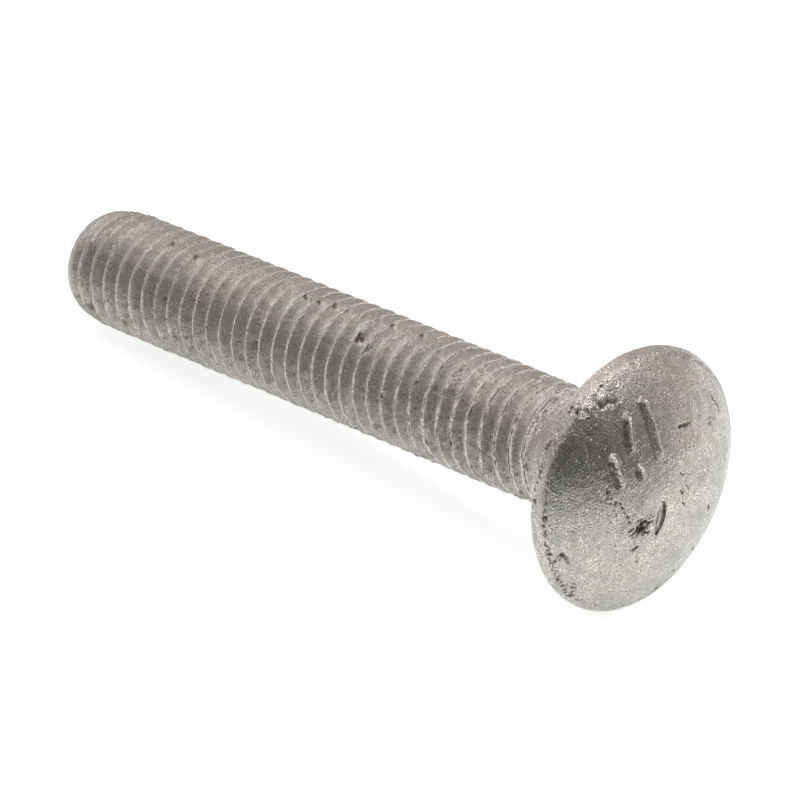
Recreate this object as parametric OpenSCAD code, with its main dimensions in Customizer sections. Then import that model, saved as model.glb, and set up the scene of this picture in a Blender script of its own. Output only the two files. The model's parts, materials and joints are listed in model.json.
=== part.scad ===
// Round-head square-neck bolt (carriage bolt), 3/8 in-16 UNC by 2 1/2 in, hot-dip galvanised steel.
// It is one forged and thread-rolled piece. It lies as it comes to rest: a flatter spot of the rim
// and a crest near the point meet z = 0, and the head lies towards -x. Lengths are in millimetres.
// Each shape is drawn about the bolt's own axis, z, with the bearing face of the head at z = 0 and
// the point towards +z. Then the whole bolt is laid down.

/* [Head] */
// Largest diameter of the head
head_d = 20.6; // [17:0.1:26]
// Height of the head over its bearing face
head_h = 4.9; // [3.5:0.1:8]
// Height of the rim, from the bearing face to the edge of the dome
rim_h = 1.3; // [1:0.1:2.4]
// How far the edge of the dome lies inside the largest diameter
rim_draft = 0.2; // [0.05:0.05:0.6]
// Radius between the rim and the bearing face
rim_fillet = 0.5; // [0.2:0.05:0.9]
// Width of the flatter spot of the rim, on which the bolt comes to rest
rim_flat_w = 2.6; // [0.5:0.1:4]

/* [Square neck] */
// Width across the flats of the neck
neck_w = 9.6; // [9:0.1:12]
// Length of the neck, its bevel included
neck_l = 5.2; // [3:0.1:8]
// Radius of the four long edges of the neck
neck_edge_r = 0.8; // [0.3:0.05:2]
// Length of the bevel from the long edges of the neck down to the round shank
neck_bevel = 1.1; // [0.3:0.05:2]
// Turn of the neck about the bolt, from the line that faces the ground to the next flat
neck_turn = 38.7; // [0:0.1:90]

/* [Shank] */
// Length of the bolt under its head
shank_l = 62; // [30:0.1:88]
// Diameter of the plain shank beside the neck
body_d = 9.1; // [8.2:0.05:9.4]
// Diameter of the flat end of the point
point_d = 7.4; // [4:0.1:9]
// Length over which the point rounds off
point_l = 4; // [1:0.1:8]

/* [Thread] */
// Outer diameter of the thread
thread_d = 9.525; // [9.2:0.025:11]
// Distance from crest to crest
thread_pitch = 1.5875; // [1.25:0.0125:2.5]
// Length of plain shank between the neck and the start of the thread
thread_gap = 0.35; // [0.2:0.05:4]
// Length over which the thread deepens from nothing to its full depth
runout_l = 3.2; // [1:0.1:8]
// Flats in a turn of the thread
turn_flats = 28; // [16:4:32]

/* [Hidden] */
$fn = 96;
steel = [0.61, 0.6, 0.58];

head_r = head_d / 2;
body_r = body_d / 2;
point_r = point_d / 2;
thread_r = thread_d / 2;

// The dome is the cap of a ball that meets the top edge of the rim
dome_edge_r = head_r - rim_draft;
dome_h = head_h - rim_h;
dome_ball_r = (dome_edge_r ^ 2 + dome_h ^ 2) / (2 * dome_h);
rim_flat_depth = head_r - sqrt(head_r ^ 2 - (rim_flat_w / 2) ^ 2);

// Reach of the neck's long edges from the axis, and the axial length that its bevel takes for each
// millimetre of radius
neck_inner = neck_w / 2 - neck_edge_r;
neck_edge_reach = neck_inner * sqrt(2) + neck_edge_r;
bevel_slope = neck_bevel / (neck_edge_reach - body_r);

// A unified thread: the crest is an eighth of the pitch wide, the flanks lean 30 degrees, and the
// depth is 17/24 of the height of the sharp triangle
crest_w = thread_pitch / 8;
thread_h = 17 / 24 * thread_pitch * cos(30);
root_w = thread_pitch - crest_w - 2 * thread_h * tan(30);
root_r = thread_r - thread_h;

// The shank starts inside the neck, and a small ring rounds the end of the point
shank_from = neck_l - 1;
thread_from = neck_l + thread_gap;
point_ring = min(0.3, point_l / 4);
// Room for one more turn is left between the last crest and the ring
turns = floor((shank_l - point_ring - thread_from - crest_w) / thread_pitch - 0.6);

// Offsets along the bolt of the corners of one turn, from the middle of its groove
turn_corners = [
    -root_w / 2,
    root_w / 2,
    thread_pitch / 2 - crest_w / 2,
    thread_pitch / 2 + crest_w / 2
];
turn_radii = [root_r, root_r, thread_r, thread_r];
corners = len(turn_corners);

// A column is the line of points up one side of the shank: the start, the corners of each turn, the
// ring and the end. It has this many points.
column_points = corners * turns + 3;
ring_row = column_points - 2;
end_row = column_points - 1;

// Radius to which the rounded point trims the shank at height z, on an ellipse
function point_trim(z) =
    let (way = min(1, (shank_l - z) / point_l))
    point_r + (thread_r - point_r) * sqrt(1 - (1 - way) ^ 2);

// Share of its full depth that the thread has at height z
function thread_share(z) = max(0, min(1, (z - thread_from) / runout_l));

// Point of the shank at an angle, a height and the radius that a full thread has there
function shank_point(angle, z, full_r) =
    let (r = min(point_trim(z), body_r + (full_r - body_r) * thread_share(z)))
    [r * cos(angle), r * sin(angle), z];

// Column number i, in which each groove lies higher by its share of the pitch: a right-hand thread.
// The first column and the last stand to either side of the flat that faces the ground.
function column(i) =
    let (way = (i + 0.5) / turn_flats, angle = 360 * way, rise = thread_from + thread_pitch * way)
    [
        shank_point(angle, shank_from, body_r),
        for (turn = [0 : turns - 1], c = [0 : corners - 1])
            shank_point(angle, rise + turn * thread_pitch + turn_corners[c], turn_radii[c]),
        shank_point(angle, shank_l - point_ring, thread_r),
        shank_point(angle, shank_l, thread_r)
    ];

// How far the bolt is tipped from level when the flatter spot of its rim and a point p of the shank
// both lie on the ground. It rests on the point that meets the ground first.
function tip_onto(p) =
    let (drop = head_r - rim_fillet - p.x, run = p.z + rim_fillet)
    acos((rim_flat_depth - rim_fillet) / norm([drop, run])) - atan2(run, drop);
tilt = min([for (i = [0, turn_flats - 1], p = column(i)) tip_onto(p)]);
// Distance of the ground from where the axis meets the bearing face
seat = (head_r - rim_fillet) * cos(tilt) - rim_fillet * sin(tilt) + rim_fillet - rim_flat_depth;
// Ends of the bolt as it lies: the ball of the dome, and the upper edge of the point's flat
head_end_x = (dome_ball_r - head_h) * cos(tilt) - dome_ball_r;
point_end_x = shank_l * cos(tilt) + point_r * sin(tilt);

// Number of a point in the list of all columns, one after the other
function at(i, row) = (i % turn_flats) * column_points + row;

// Two triangles between rows a and a + 1 of column i and rows b and b + 1 of the next column
function patch(i, a, b) = [
    [at(i, a), at(i, a + 1), at(i + 1, b + 1)],
    [at(i, a), at(i + 1, b + 1), at(i + 1, b)]
];

// Triangles from one point of a column to a run of rows in the column beside it
function fan_up(i, rows, tip) = [for (m = rows) [at(i, m), at(i, m + 1), tip]];
function fan_down(i, rows, tip) = [for (m = rows) [at(i, m + 1), at(i, m), tip]];

// Skin of the shank. Where the last column meets the first, each groove has come up by one turn, so
// the first turn and the last are closed with fans.
function shank_skin() =
    let (last = turn_flats - 1, last_turn = corners * (turns - 1))
    [
        for (i = [0 : last - 1], m = [0 : ring_row - 1]) each patch(i, m, m),
        for (i = [0 : last]) each patch(i, ring_row, ring_row),
        for (m = [1 : last_turn - 1]) each patch(last, m, m + corners),
        each fan_down(0, [0 : corners], at(last, 0)),
        [at(last, 0), at(last, 1), at(0, corners + 1)],
        each fan_up(last, [last_turn : ring_row - 1], at(0, ring_row)),
        [at(last, last_turn), at(0, ring_row), at(0, ring_row - 1)],
        [for (i = [0 : last]) at(i, 0)],
        [for (i = [last : -1 : 0]) at(i, end_row)]
    ];

// Round head, drawn as half a section: the rim with its draft and fillet, and the dome on it
module round_head() {
    rotate_extrude() {
        polygon([
            [0, 0],
            [head_r - rim_fillet, 0],
            [head_r - rim_fillet, -rim_fillet],
            [head_r, -rim_fillet],
            [dome_edge_r, -rim_h],
            [0, -rim_h]
        ]);
        translate([head_r - rim_fillet, -rim_fillet])
            circle(rim_fillet);
        intersection() {
            translate([0, dome_ball_r - head_h])
                circle(dome_ball_r);
            translate([0, -head_h])
                square([dome_edge_r, dome_h]);
        }
    }
}

// The head with the flatter spot of its rim, which is level when the bolt lies
module head() {
    difference() {
        round_head();
        rotate([0, -tilt, 0])
            translate([seat, -head_r, -head_h])
                cube([head_r, head_d, 2 * head_h]);
    }
}

// Section of the neck: a square with round corners
module neck_section() {
    square([2 * neck_inner, neck_w], center = true);
    square([neck_w, 2 * neck_inner], center = true);
    for (x = [-1, 1], y = [-1, 1])
        translate([x * neck_inner, y * neck_inner])
            circle(neck_edge_r);
}

// Square neck, turned down to the round shank by a bevel that takes most off its corners. It starts
// inside the head, half the rim deep, and its bevel goes on a little way into the shank.
module square_neck() {
    base = -rim_h / 2;
    clear = 0.5;
    dive = min(0.3, 0.8 * thread_gap / bevel_slope);
    tail = neck_l + bevel_slope * dive;
    intersection() {
        rotate(neck_turn)
            translate([0, 0, base])
                linear_extrude(tail + clear - base)
                    neck_section();
        rotate_extrude()
            polygon([
                [0, base],
                [neck_edge_reach + clear, base],
                [neck_edge_reach + clear, neck_l - neck_bevel - bevel_slope * clear],
                [body_r - dive, tail],
                [0, tail]
            ]);
    }
}

// Threaded shank with its run-out beside the neck and its rounded point
module threaded_shank() {
    polyhedron(
        points = [for (i = [0 : turn_flats - 1]) each column(i)],
        faces = shank_skin(),
        convexity = 10
    );
}

// Lays the bolt on its side, on z = 0, with the middle of its length and width at the origin
module lay_down() {
    translate([-(head_end_x + point_end_x) / 2, 0, seat])
        rotate([0, 90 + tilt, 0])
            children();
}

module carriage_bolt() {
    color(steel)
        lay_down() {
            head();
            square_neck();
            threaded_shank();
        }
}

carriage_bolt();
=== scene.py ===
import json
import logging
import math
from dataclasses import dataclass, field
from enum import Enum

import bpy
import numpy as np
from mathutils import Matrix


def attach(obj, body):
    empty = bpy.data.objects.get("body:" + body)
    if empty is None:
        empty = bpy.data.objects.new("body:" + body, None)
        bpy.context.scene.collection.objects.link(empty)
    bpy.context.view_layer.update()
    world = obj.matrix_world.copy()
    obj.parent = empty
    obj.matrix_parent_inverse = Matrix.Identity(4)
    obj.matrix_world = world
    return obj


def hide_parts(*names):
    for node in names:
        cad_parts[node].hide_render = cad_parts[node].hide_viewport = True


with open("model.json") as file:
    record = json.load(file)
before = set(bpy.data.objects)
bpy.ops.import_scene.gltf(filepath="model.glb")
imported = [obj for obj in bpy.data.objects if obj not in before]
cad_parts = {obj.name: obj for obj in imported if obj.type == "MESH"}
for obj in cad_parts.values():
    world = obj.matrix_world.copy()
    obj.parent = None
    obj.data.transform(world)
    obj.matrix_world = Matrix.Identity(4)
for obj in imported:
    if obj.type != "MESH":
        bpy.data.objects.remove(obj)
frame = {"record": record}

LOG = logging.getLogger("carriage_bolt")
MM = 0.001
TURN = 2.0 * math.pi
TINY = 1e-9
LATTICE = np.array([374761393, 668265263, 2246822519], dtype=np.uint32)  # one for each axis
SEEDING = 974711
STIRRING = ((13, 1274126177), (16, 2654435769))  # a shift and a factor for each round
Array = np.ndarray
Values = Array | float
Place = tuple[float, float, float]
Colour = tuple[float, float, float, float]
FLANK = math.tan(math.radians(30.0))  # slope of the thread's flanks from square to the axis
LAYERS = ("dirt", "edge", "rust")  # the values that every skin carries for its coat
WHITE = (1.0, 1.0, 1.0, 1.0)
SOIL_BREAK_UP = 3200.0  # patches per metre of the noise that breaks dirt and rust up
SOIL_SPOTS = 6600.0  # dark spots per metre on rubbed metal
RUST_HUES = 1500.0  # patches of rust per metre
DARK_RUST = (0.135, 0.066, 0.040, 1.0)
PALE_RUST = (0.33, 0.215, 0.155, 1.0)
# Dark colour of dirt, and of the painted shade that the dirt layer carries.
DIRT_AND_SHADE = (0.048, 0.036, 0.028, 1.0)


# -------------------- noise --------------------


def hash_unit(cells: Array, seed: int) -> Array:
    """Repeatable random values on a lattice.

    Formula: the three whole coordinates are multiplied by large odd numbers, summed, and stirred
    by two rounds of xor-shift and multiply in 32 bits.

    Args:
        cells: whole lattice coordinates, shape (n, 3).
        seed: picks one of many independent lattices.

    Returns:
        Values from 0 up to 1, shape (n,).
    """
    c = cells.astype(np.int64).astype(np.uint32) * LATTICE
    h = c[:, 0] + c[:, 1] + c[:, 2] + np.uint32(seed * SEEDING % 2**32)
    for shift, factor in STIRRING:
        h = (h ^ (h >> np.uint32(shift))) * np.uint32(factor)
    return (h ^ (h >> np.uint32(15))).astype(np.float64) / 2**32


def value_noise(points: Array, size: float, seed: int) -> Array:
    """Smooth noise in space.

    Formula: random values at the corners of a lattice of the given cell size, blended with the
    quintic 6t^5 - 15t^4 + 10t^3 along each axis.

    Args:
        points: places, shape (n, 3).
        size: edge of a lattice cell, in the units of the points.
        seed: picks the lattice.

    Returns:
        Values from -1 to 1, shape (n,).
    """
    q = points / size + 0.5 * seed
    base = np.floor(q)
    t = q - base
    w = t * t * t * (t * (t * 6.0 - 15.0) + 10.0)
    total = np.zeros(len(points))
    for corner in np.ndindex(2, 2, 2):
        step = np.array(corner)
        share = np.prod(np.where(step == 1, w, 1.0 - w), axis=1)
        total += share * hash_unit(base + step, seed)
    return 2.0 * total - 1.0


def fractal_noise(points: Array, size: float, seed: int, octaves: int = 3) -> Array:
    """Sum of smooth noises, each half the size and 0.55 the strength of the one before.

    Args:
        points: places, shape (n, 3).
        size: cell size of the first noise.
        seed: picks the lattices.
        octaves: how many noises are summed.

    Returns:
        Values of about -1 to 1, shape (n,).
    """
    total, strength, reach = np.zeros(len(points)), 1.0, 0.0
    for k in range(octaves):
        total += strength * value_noise(points, size / 2**k, seed + 17 * k)
        reach += strength
        strength *= 0.55
    return total / reach


def pit_field(points: Array, cell: float, share: float, reach: float, seed: int) -> Array:
    """Scattered round pits in space.

    Formula: each lattice cell holds a pit with the given chance, at a random place in the cell
    and of a random radius up to reach. The value is a bell of the distance over the radius, and
    the largest of the 27 neighbouring cells counts.

    Args:
        points: places, shape (n, 3).
        cell: edge of a lattice cell.
        share: chance that a cell holds a pit.
        reach: largest pit radius.
        seed: picks the lattice.

    Returns:
        Depth from 0 (no pit) to 1 (bottom of a pit), shape (n,).
    """
    base = np.floor(points / cell)
    deepest = np.zeros(len(points))
    for step in np.ndindex(3, 3, 3):
        home = base + np.array(step) - 1.0
        spot = np.stack([hash_unit(home, seed + k) for k in (1, 2, 3)], axis=1)
        radius = reach * (0.35 + 0.65 * hash_unit(home, seed + 4))
        held = hash_unit(home, seed + 5) < share
        far = np.linalg.norm(points - (home + spot) * cell, axis=1) / radius
        depth = np.where(held, bell(far), 0.0)
        deepest = np.maximum(deepest, depth * (0.4 + 0.6 * hash_unit(home, seed + 6)))
    return deepest


def smooth_step(low: float, high: float, x: Array) -> Array:
    """Ease 3t^2 - 2t^3 from 0 at low to 1 at high."""
    t = np.clip((x - low) / (high - low), 0.0, 1.0)
    return t * t * (3.0 - 2.0 * t)


def band(x: Array, low: float, full: float, fading: float, high: float) -> Array:
    """Eases from 0 at low up to 1 at full, and from 1 at fading back to 0 at high."""
    return smooth_step(low, full, x) * smooth_step(high, fading, x)


def soft_plus(x: Array, width: float) -> Array:
    """The larger of x and 0 with its corner rounded: (x + sqrt(x^2 + width^2)) / 2."""
    return 0.5 * (x + np.sqrt(x * x + width * width))


def angle_gap(a: Array, b: float) -> Array:
    """Signed difference of two angles in degrees, from -180 to 180."""
    return (a - b + 180.0) % 360.0 - 180.0


def bell(d: Array) -> Array:
    """Bell (1 - d^2)^2, from 1 at distance 0 to 0 at distance 1 and beyond."""
    return np.where(d < 1.0, (1.0 - d * d) ** 2, 0.0)


def beside(points: Array, start: tuple[float, ...], end: tuple[float, ...]) -> tuple[Array, Array]:
    """Where points lie beside a straight line from start to end.

    Formula: a point is carried square onto the line, and its share of the way is kept in 0 to 1.

    Args:
        points: places, shape (n, k).
        start: one end of the line.
        end: the other end.

    Returns:
        The share of the way and the distance from the line, each of shape (n,).
    """
    a = np.array(start)
    run = np.array(end) - a
    t = np.clip((points - a) @ run / max(run @ run, TINY), 0.0, 1.0)
    return t, np.linalg.norm(points - a - t[:, None] * run, axis=1)


def around(radius: Values, turn: Array, height: Array) -> Array:
    """Places at a radius, a turn in radians and a height: (r cos, r sin, h), on a last axis."""
    return np.stack(np.broadcast_arrays(radius * np.cos(turn), radius * np.sin(turn), height), -1)


def turns_of(points: Array) -> Array:
    """Directions of points round the axis, in degrees from -180 to 180."""
    return np.degrees(np.arctan2(points[:, 1], points[:, 0]))


def round_turn(count: int) -> Array:
    """Directions of columns spaced evenly round the axis, in radians."""
    return np.arange(count) * TURN / count


def steps(count: int, end: float = 1.0) -> Array:
    """Even steps from 0 to end, without the 0."""
    return np.linspace(0.0, end, count + 1)[1:]


# -------------------- skins --------------------


@dataclass
class Skin:
    """A closed surface in the bolt's own frame, with values on its points.

    Attributes:
        points: corner places in millimetres, shape (n, 3).
        quads: faces of four corners, shape (m, 4).
        tris: faces of three corners, shape (k, 3).
        layers: named values, one for each point.
    """

    points: Array
    quads: Array
    tris: Array
    layers: dict[str, Array] = field(default_factory=dict)

    def normals(self) -> Array:
        """Unit normals at the points, from the areas of the faces around each.

        Returns:
            Outward normals, shape (n, 3).
        """
        p, total = self.points, np.zeros_like(self.points)
        for corners in (self.quads, self.tris):
            start = p[corners[:, -1]] - p[corners[:, 1]]
            area = np.cross(p[corners[:, 2]] - p[corners[:, 0]], start)
            for k in range(corners.shape[1]):
                for axis in range(3):
                    total[:, axis] += np.bincount(corners[:, k], area[:, axis], len(p))
        return total / np.maximum(np.linalg.norm(total, axis=1, keepdims=True), TINY)

    def pushed(self, height: Array) -> None:
        """Moves each point along its normal by a height in millimetres."""
        self.points = self.points + self.normals() * height[:, None]


def strip(a: Array, b: Array) -> Array:
    """Faces of four corners between columns a and b of point numbers, b being the next round."""
    return np.stack([a[:-1], b[:-1], b[1:], a[1:]], axis=-1).reshape(-1, 4)


def fan(hub: int, chain: Array) -> Array:
    """Faces of three corners from a hub to each step of a chain of point numbers."""
    return np.stack([np.full(len(chain) - 1, hub), chain[:-1], chain[1:]], axis=-1)


def closed(rings: Array, quads: Array, tris: list[Array]) -> Skin:
    """Skin of rings with the given faces, and a fan from its mean point over each end ring.

    Args:
        rings: places, shape (rows, columns, 3), with columns anticlockwise seen from the last row.
        quads: faces of four corners.
        tris: arrays of faces of three corners.

    Returns:
        The closed skin, faces outwards. The two mean points are its last two points.
    """
    ids = np.arange(rings[..., 0].size).reshape(rings.shape[:2])
    first, last = (np.append(ids[k], ids[k, 0]) for k in (0, -1))
    fans = [fan(ids.size, first[::-1]), fan(ids.size + 1, last)]
    points = np.concatenate([rings.reshape(-1, 3), rings[:1].mean(1), rings[-1:].mean(1)])
    return Skin(points, quads, np.concatenate([*tris, *fans]))


def ring_stack(rings: Array) -> Skin:
    """Closed skin over level rings: each point joins its neighbours in its row and the next.

    Args:
        rings: places, shape (rows, columns, 3), with columns anticlockwise seen from the last row.

    Returns:
        The closed skin, faces outwards.
    """
    ids = np.arange(rings[..., 0].size).reshape(rings.shape[:2])
    return closed(rings, strip(ids, np.roll(ids, -1, axis=1)), [])


@dataclass(frozen=True)
class BoltFrame:
    """Where the bolt lies: the centre of the bearing face, and the axis from head to point.

    Attributes:
        seat: centre of the bearing face, in metres.
        axis: unit vector from the head to the point.
    """

    seat: Place
    axis: Place

    @classmethod
    def from_record(cls, record: dict) -> "BoltFrame":
        """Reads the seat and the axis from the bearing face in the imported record.

        Args:
            record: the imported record.

        Returns:
            The frame of the bolt.
        """
        mount = next(m for m in record["mounts"] if m["name"] == "bearing_face")
        return cls(tuple(mount["pos_m"]), tuple(mount["axis"]))

    def place(self, points: Array) -> Array:
        """Moves points from the bolt's frame, in millimetres, to the row frame, in metres.

        Formula: z runs along the axis, y stays, and x is y crossed with the axis, which points
        down. Points that would lie under the ground are set on it.

        Args:
            points: places in the bolt's frame, shape (n, 3).

        Returns:
            Places in the row frame, shape (n, 3).
        """
        a = np.array(self.axis) / np.linalg.norm(self.axis)
        y = np.array([0.0, 1.0, 0.0])
        turn = np.stack([np.cross(y, a), y, a])
        out = np.array(self.seat) + MM * points @ turn
        out[:, 2] = np.maximum(out[:, 2], 0.0)
        return out


@dataclass
class Wear:
    """What wear does at each point of a skin.

    Attributes:
        points: the skin's points before it wears, shape (n, 3).
        height: how far each moves along its normal, in millimetres.
        dirt: share of dirt, which also carries painted shade.
        rust: share of rust.
        edge: share of rubbed metal, which also carries painted highlights.
    """

    points: Array
    height: Array = field(init=False)
    dirt: Array = field(init=False)
    rust: Array = field(init=False)
    edge: Array = field(init=False)

    def __post_init__(self) -> None:
        """Starts from even, clean metal."""
        self.height, self.dirt, self.rust, self.edge = np.zeros((4, len(self.points)))

    def soil(self, dirt: Values = 0.0, rust: Values = 0.0, edge: Values = 0.0) -> None:
        """Raises the shares to the given ones where those are larger.

        Args:
            dirt: share of dirt, which also carries painted shade.
            rust: share of rust.
            edge: share of rubbed metal, which also carries painted highlights.
        """
        self.dirt = np.maximum(self.dirt, dirt)
        self.rust = np.maximum(self.rust, rust)
        self.edge = np.maximum(self.edge, edge)

    def put_on(self, skin: Skin) -> None:
        """Keeps the shares as layers of the skin, and moves its points by the height.

        Args:
            skin: the skin of the same points, changed in place.
        """
        for name in LAYERS:
            skin.layers[name] = np.clip(getattr(self, name), 0.0, 1.0)
        skin.pushed(self.height)


def new_object(name: str, data: bpy.types.ID) -> bpy.types.Object:
    """Adds an object with the given data to the scene.

    Args:
        name: the object's name.
        data: its mesh, lamp or camera.

    Returns:
        The new object.
    """
    made = bpy.data.objects.new(name, data)
    bpy.context.scene.collection.objects.link(made)
    return made


def make_piece(name: str, skin: Skin, where: BoltFrame) -> bpy.types.Object:
    """Makes a smooth mesh object of a skin in the row frame, with its layers as attributes.

    Args:
        name: the piece's name.
        skin: the surface.
        where: the bolt's frame.

    Returns:
        The new object, at the origin.
    """
    mesh = bpy.data.meshes.new(name)
    mesh.vertices.add(len(skin.points))
    mesh.vertices.foreach_set("co", where.place(skin.points).astype(np.float32).ravel())
    corners = np.concatenate([skin.quads.ravel(), skin.tris.ravel()]).astype(np.int32)
    sizes = np.concatenate([np.full(len(skin.quads), 4), np.full(len(skin.tris), 3)])
    mesh.loops.add(len(corners))
    mesh.loops.foreach_set("vertex_index", corners)
    mesh.polygons.add(len(sizes))
    mesh.polygons.foreach_set("loop_start", (np.cumsum(sizes) - sizes).astype(np.int32))
    mesh.update(calc_edges=True)
    mesh.polygons.foreach_set("use_smooth", np.ones(len(sizes), dtype=bool))
    for layer, values in skin.layers.items():
        spot = mesh.attributes.new(layer, "FLOAT", "POINT")
        spot.data.foreach_set("value", values.astype(np.float32))
    mesh.validate()
    return new_object(name, mesh)


def carry(piece: bpy.types.Object) -> None:
    """Hangs a piece on the bolt's one body, in place of the plain bolt.

    Args:
        piece: the piece.
    """
    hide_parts("carriage_bolt")
    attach(piece, "root")


# -------------------- wiring --------------------


@dataclass
class Wiring:
    """Short ways to add and join shader nodes.

    Attributes:
        tree: the node tree that is filled.
    """

    tree: bpy.types.NodeTree

    @classmethod
    def of(cls, owner: bpy.types.Material | bpy.types.World) -> "Wiring":
        """Switches on the nodes of a material or a world, and clears them.

        Args:
            owner: the material or the world.

        Returns:
            The wiring of its empty tree.
        """
        owner.use_nodes = True
        owner.node_tree.nodes.clear()
        return cls(owner.node_tree)

    def node(self, kind: str, **values: object) -> bpy.types.Node:
        """Adds a node.

        Args:
            kind: the node's type without its "ShaderNode".
            values: properties to set on it.

        Returns:
            The node.
        """
        made = self.tree.nodes.new(kind if kind.startswith("NodeGroup") else "ShaderNode" + kind)
        for name, value in values.items():
            setattr(made, name, value)
        return made

    def feed(self, node: bpy.types.Node, **values: object) -> bpy.types.Node:
        """Sets or links inputs of a node, named with _ for a space.

        Args:
            node: the node.
            values: a constant, or a socket to link, for each input.

        Returns:
            The same node.
        """
        for name, value in values.items():
            self.put(node.inputs[name.replace("_", " ")], value)
        return node

    def effect(self, group: bpy.types.NodeTree, **values: object) -> dict:
        """Places a shared effect with its own values, and gives its outputs by name."""
        return dict(self.feed(self.node("Group", node_tree=group), **values).outputs.items())

    def put(self, socket: bpy.types.NodeSocket, value: object) -> None:
        """Links a socket to an input, or sets the input to a constant.

        Args:
            socket: the input.
            value: a constant, or a socket to link.
        """
        if isinstance(value, bpy.types.NodeSocket):
            self.tree.links.new(value, socket)
        else:
            socket.default_value = value

    def math(self, operation: str, *values: object) -> bpy.types.NodeSocket:
        """Joins values by one sum: ADD, MULTIPLY, MAXIMUM and the like.

        Args:
            operation: the sum.
            values: constants or sockets, in order.

        Returns:
            The sum's result.
        """
        made = self.node("Math", operation=operation)
        for socket, value in zip(made.inputs, values):
            self.put(socket, value)
        return made.outputs[0]

    def swing(self, value: object, gain: object) -> bpy.types.NodeSocket:
        """Swing of a value about a half: (value - 0.5) times the gain."""
        return self.math("MULTIPLY", self.math("SUBTRACT", value, 0.5), gain)

    def vector(self, operation: str, first: object, second: object) -> bpy.types.NodeSocket:
        """Joins two vectors by one sum, or a vector and a number by SCALE.

        Args:
            operation: the sum.
            first: a vector.
            second: a vector, or the number.

        Returns:
            The sum's result.
        """
        made = self.node("VectorMath", operation=operation)
        self.put(made.inputs[0], first)
        self.put(made.inputs["Scale" if operation == "SCALE" else 1], second)
        return made.outputs["Value" if operation == "DOT_PRODUCT" else "Vector"]

    def blend(self, share: object, first: object, second: object) -> bpy.types.NodeSocket:
        """Mixes two colours, share 0 giving the first and 1 the second.

        Args:
            share: share of the second colour.
            first: a colour.
            second: another.

        Returns:
            The mixed colour.
        """
        made = self.node("Mix", data_type="RGBA")
        for k, value in zip((0, 6, 7), (share, first, second)):
            self.put(made.inputs[k], value)
        return made.outputs[2]

    def noise(
        self, vector: object, scale: object, detail: float, roughness: float = 0.55
    ) -> bpy.types.NodeSocket:
        """Adds smooth noise and gives its value, about 0.2 to 0.8.

        Args:
            vector: where the noise is read.
            scale: its cells per metre.
            detail: how many finer noises are added.
            roughness: how strong those are.

        Returns:
            The noise's value.
        """
        made = self.node("TexNoise")
        self.feed(made, Vector=vector, Scale=scale, Detail=detail, Roughness=roughness)
        return made.outputs["Fac"]

    def ramp(
        self,
        value: object,
        low: float,
        high: float,
        bottom: float = 0.0,
        top: float = 1.0,
        ease: str = "SMOOTHSTEP",
    ) -> bpy.types.NodeSocket:
        """Eases a value from bottom at low to top at high.

        Args:
            value: what is eased.
            low: the value that gives bottom.
            high: the value that gives top.
            bottom: the result at low.
            top: the result at high.
            ease: the kind of easing.

        Returns:
            The eased value.
        """
        made = self.node("MapRange", interpolation_type=ease)
        self.feed(made, Value=value, From_Min=low, From_Max=high, To_Min=bottom, To_Max=top)
        return made.outputs["Result"]


def new_group(
    name: str, inputs: dict[str, str], outputs: dict[str, str]
) -> tuple[Wiring, dict, dict]:
    """Makes an empty node group.

    Args:
        name: the group's name.
        inputs: the names of the inputs of each socket type, with spaces between them.
        outputs: the same for the outputs.

    Returns:
        The wiring of the group, its input sockets by name and its output sockets by name.
    """
    wiring = Wiring(bpy.data.node_groups.new(name, "ShaderNodeTree"))
    for kinds, way in ((inputs, "INPUT"), (outputs, "OUTPUT")):
        for kind, labels in kinds.items():
            for label in labels.split():
                socket = {"in_out": way, "socket_type": "NodeSocket" + kind}
                wiring.tree.interface.new_socket(name=label, **socket)
    head, tail = wiring.node("NodeGroupInput"), wiring.node("NodeGroupOutput")
    return wiring, dict(head.outputs.items()), dict(tail.inputs.items())


def tone_group() -> bpy.types.NodeTree:
    """Shared effect: the coat's colour, blotched, clouded and speckled.

    Returns:
        The group: colours and sizes in, a colour and the blotches' value out.
    """
    inputs = {"Vector": "Vector", "Color": "Light Dark Tint"}
    inputs["Float"] = "Blotch Cloud Speck Speckle"
    w, i, o = new_group("coat_tone", inputs, {"Color": "Color", "Float": "Value"})
    blotch = w.noise(i["Vector"], i["Blotch"], 3.0)
    cloud = w.noise(i["Vector"], i["Cloud"], 4.0, 0.6)
    speck = w.noise(i["Vector"], i["Speck"], 2.0, 0.7)
    fleck = w.noise(i["Vector"], w.math("MULTIPLY", i["Speck"], 0.62), 1.0, 0.5)
    fleck = w.math("SUBTRACT", w.ramp(fleck, 0.60, 0.74), w.ramp(fleck, 0.40, 0.27))
    mixed = w.math("ADD", w.math("MULTIPLY", blotch, 0.45), w.math("MULTIPLY", cloud, 0.55))
    share = w.ramp(mixed, 0.36, 0.64)
    tone = w.blend(share, i["Dark"], i["Light"])
    warm = w.ramp(w.noise(i["Vector"], i["Blotch"], 3.0, 0.65), 0.40, 0.66, 0.0, 0.55)
    tone = w.blend(warm, tone, w.blend(0.5, tone, i["Tint"]))
    level = w.math("ADD", w.math("SUBTRACT", speck, 0.5), w.math("MULTIPLY", fleck, 0.10))
    patchy = w.math("MULTIPLY", i["Speckle"], w.ramp(cloud, 0.38, 0.62, 0.55, 1.35))
    level = w.math("ADD", 1.0, w.math("MULTIPLY", level, patchy))
    w.put(o["Color"], w.vector("SCALE", tone, level))
    w.put(o["Value"], share)
    return w.tree


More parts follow.
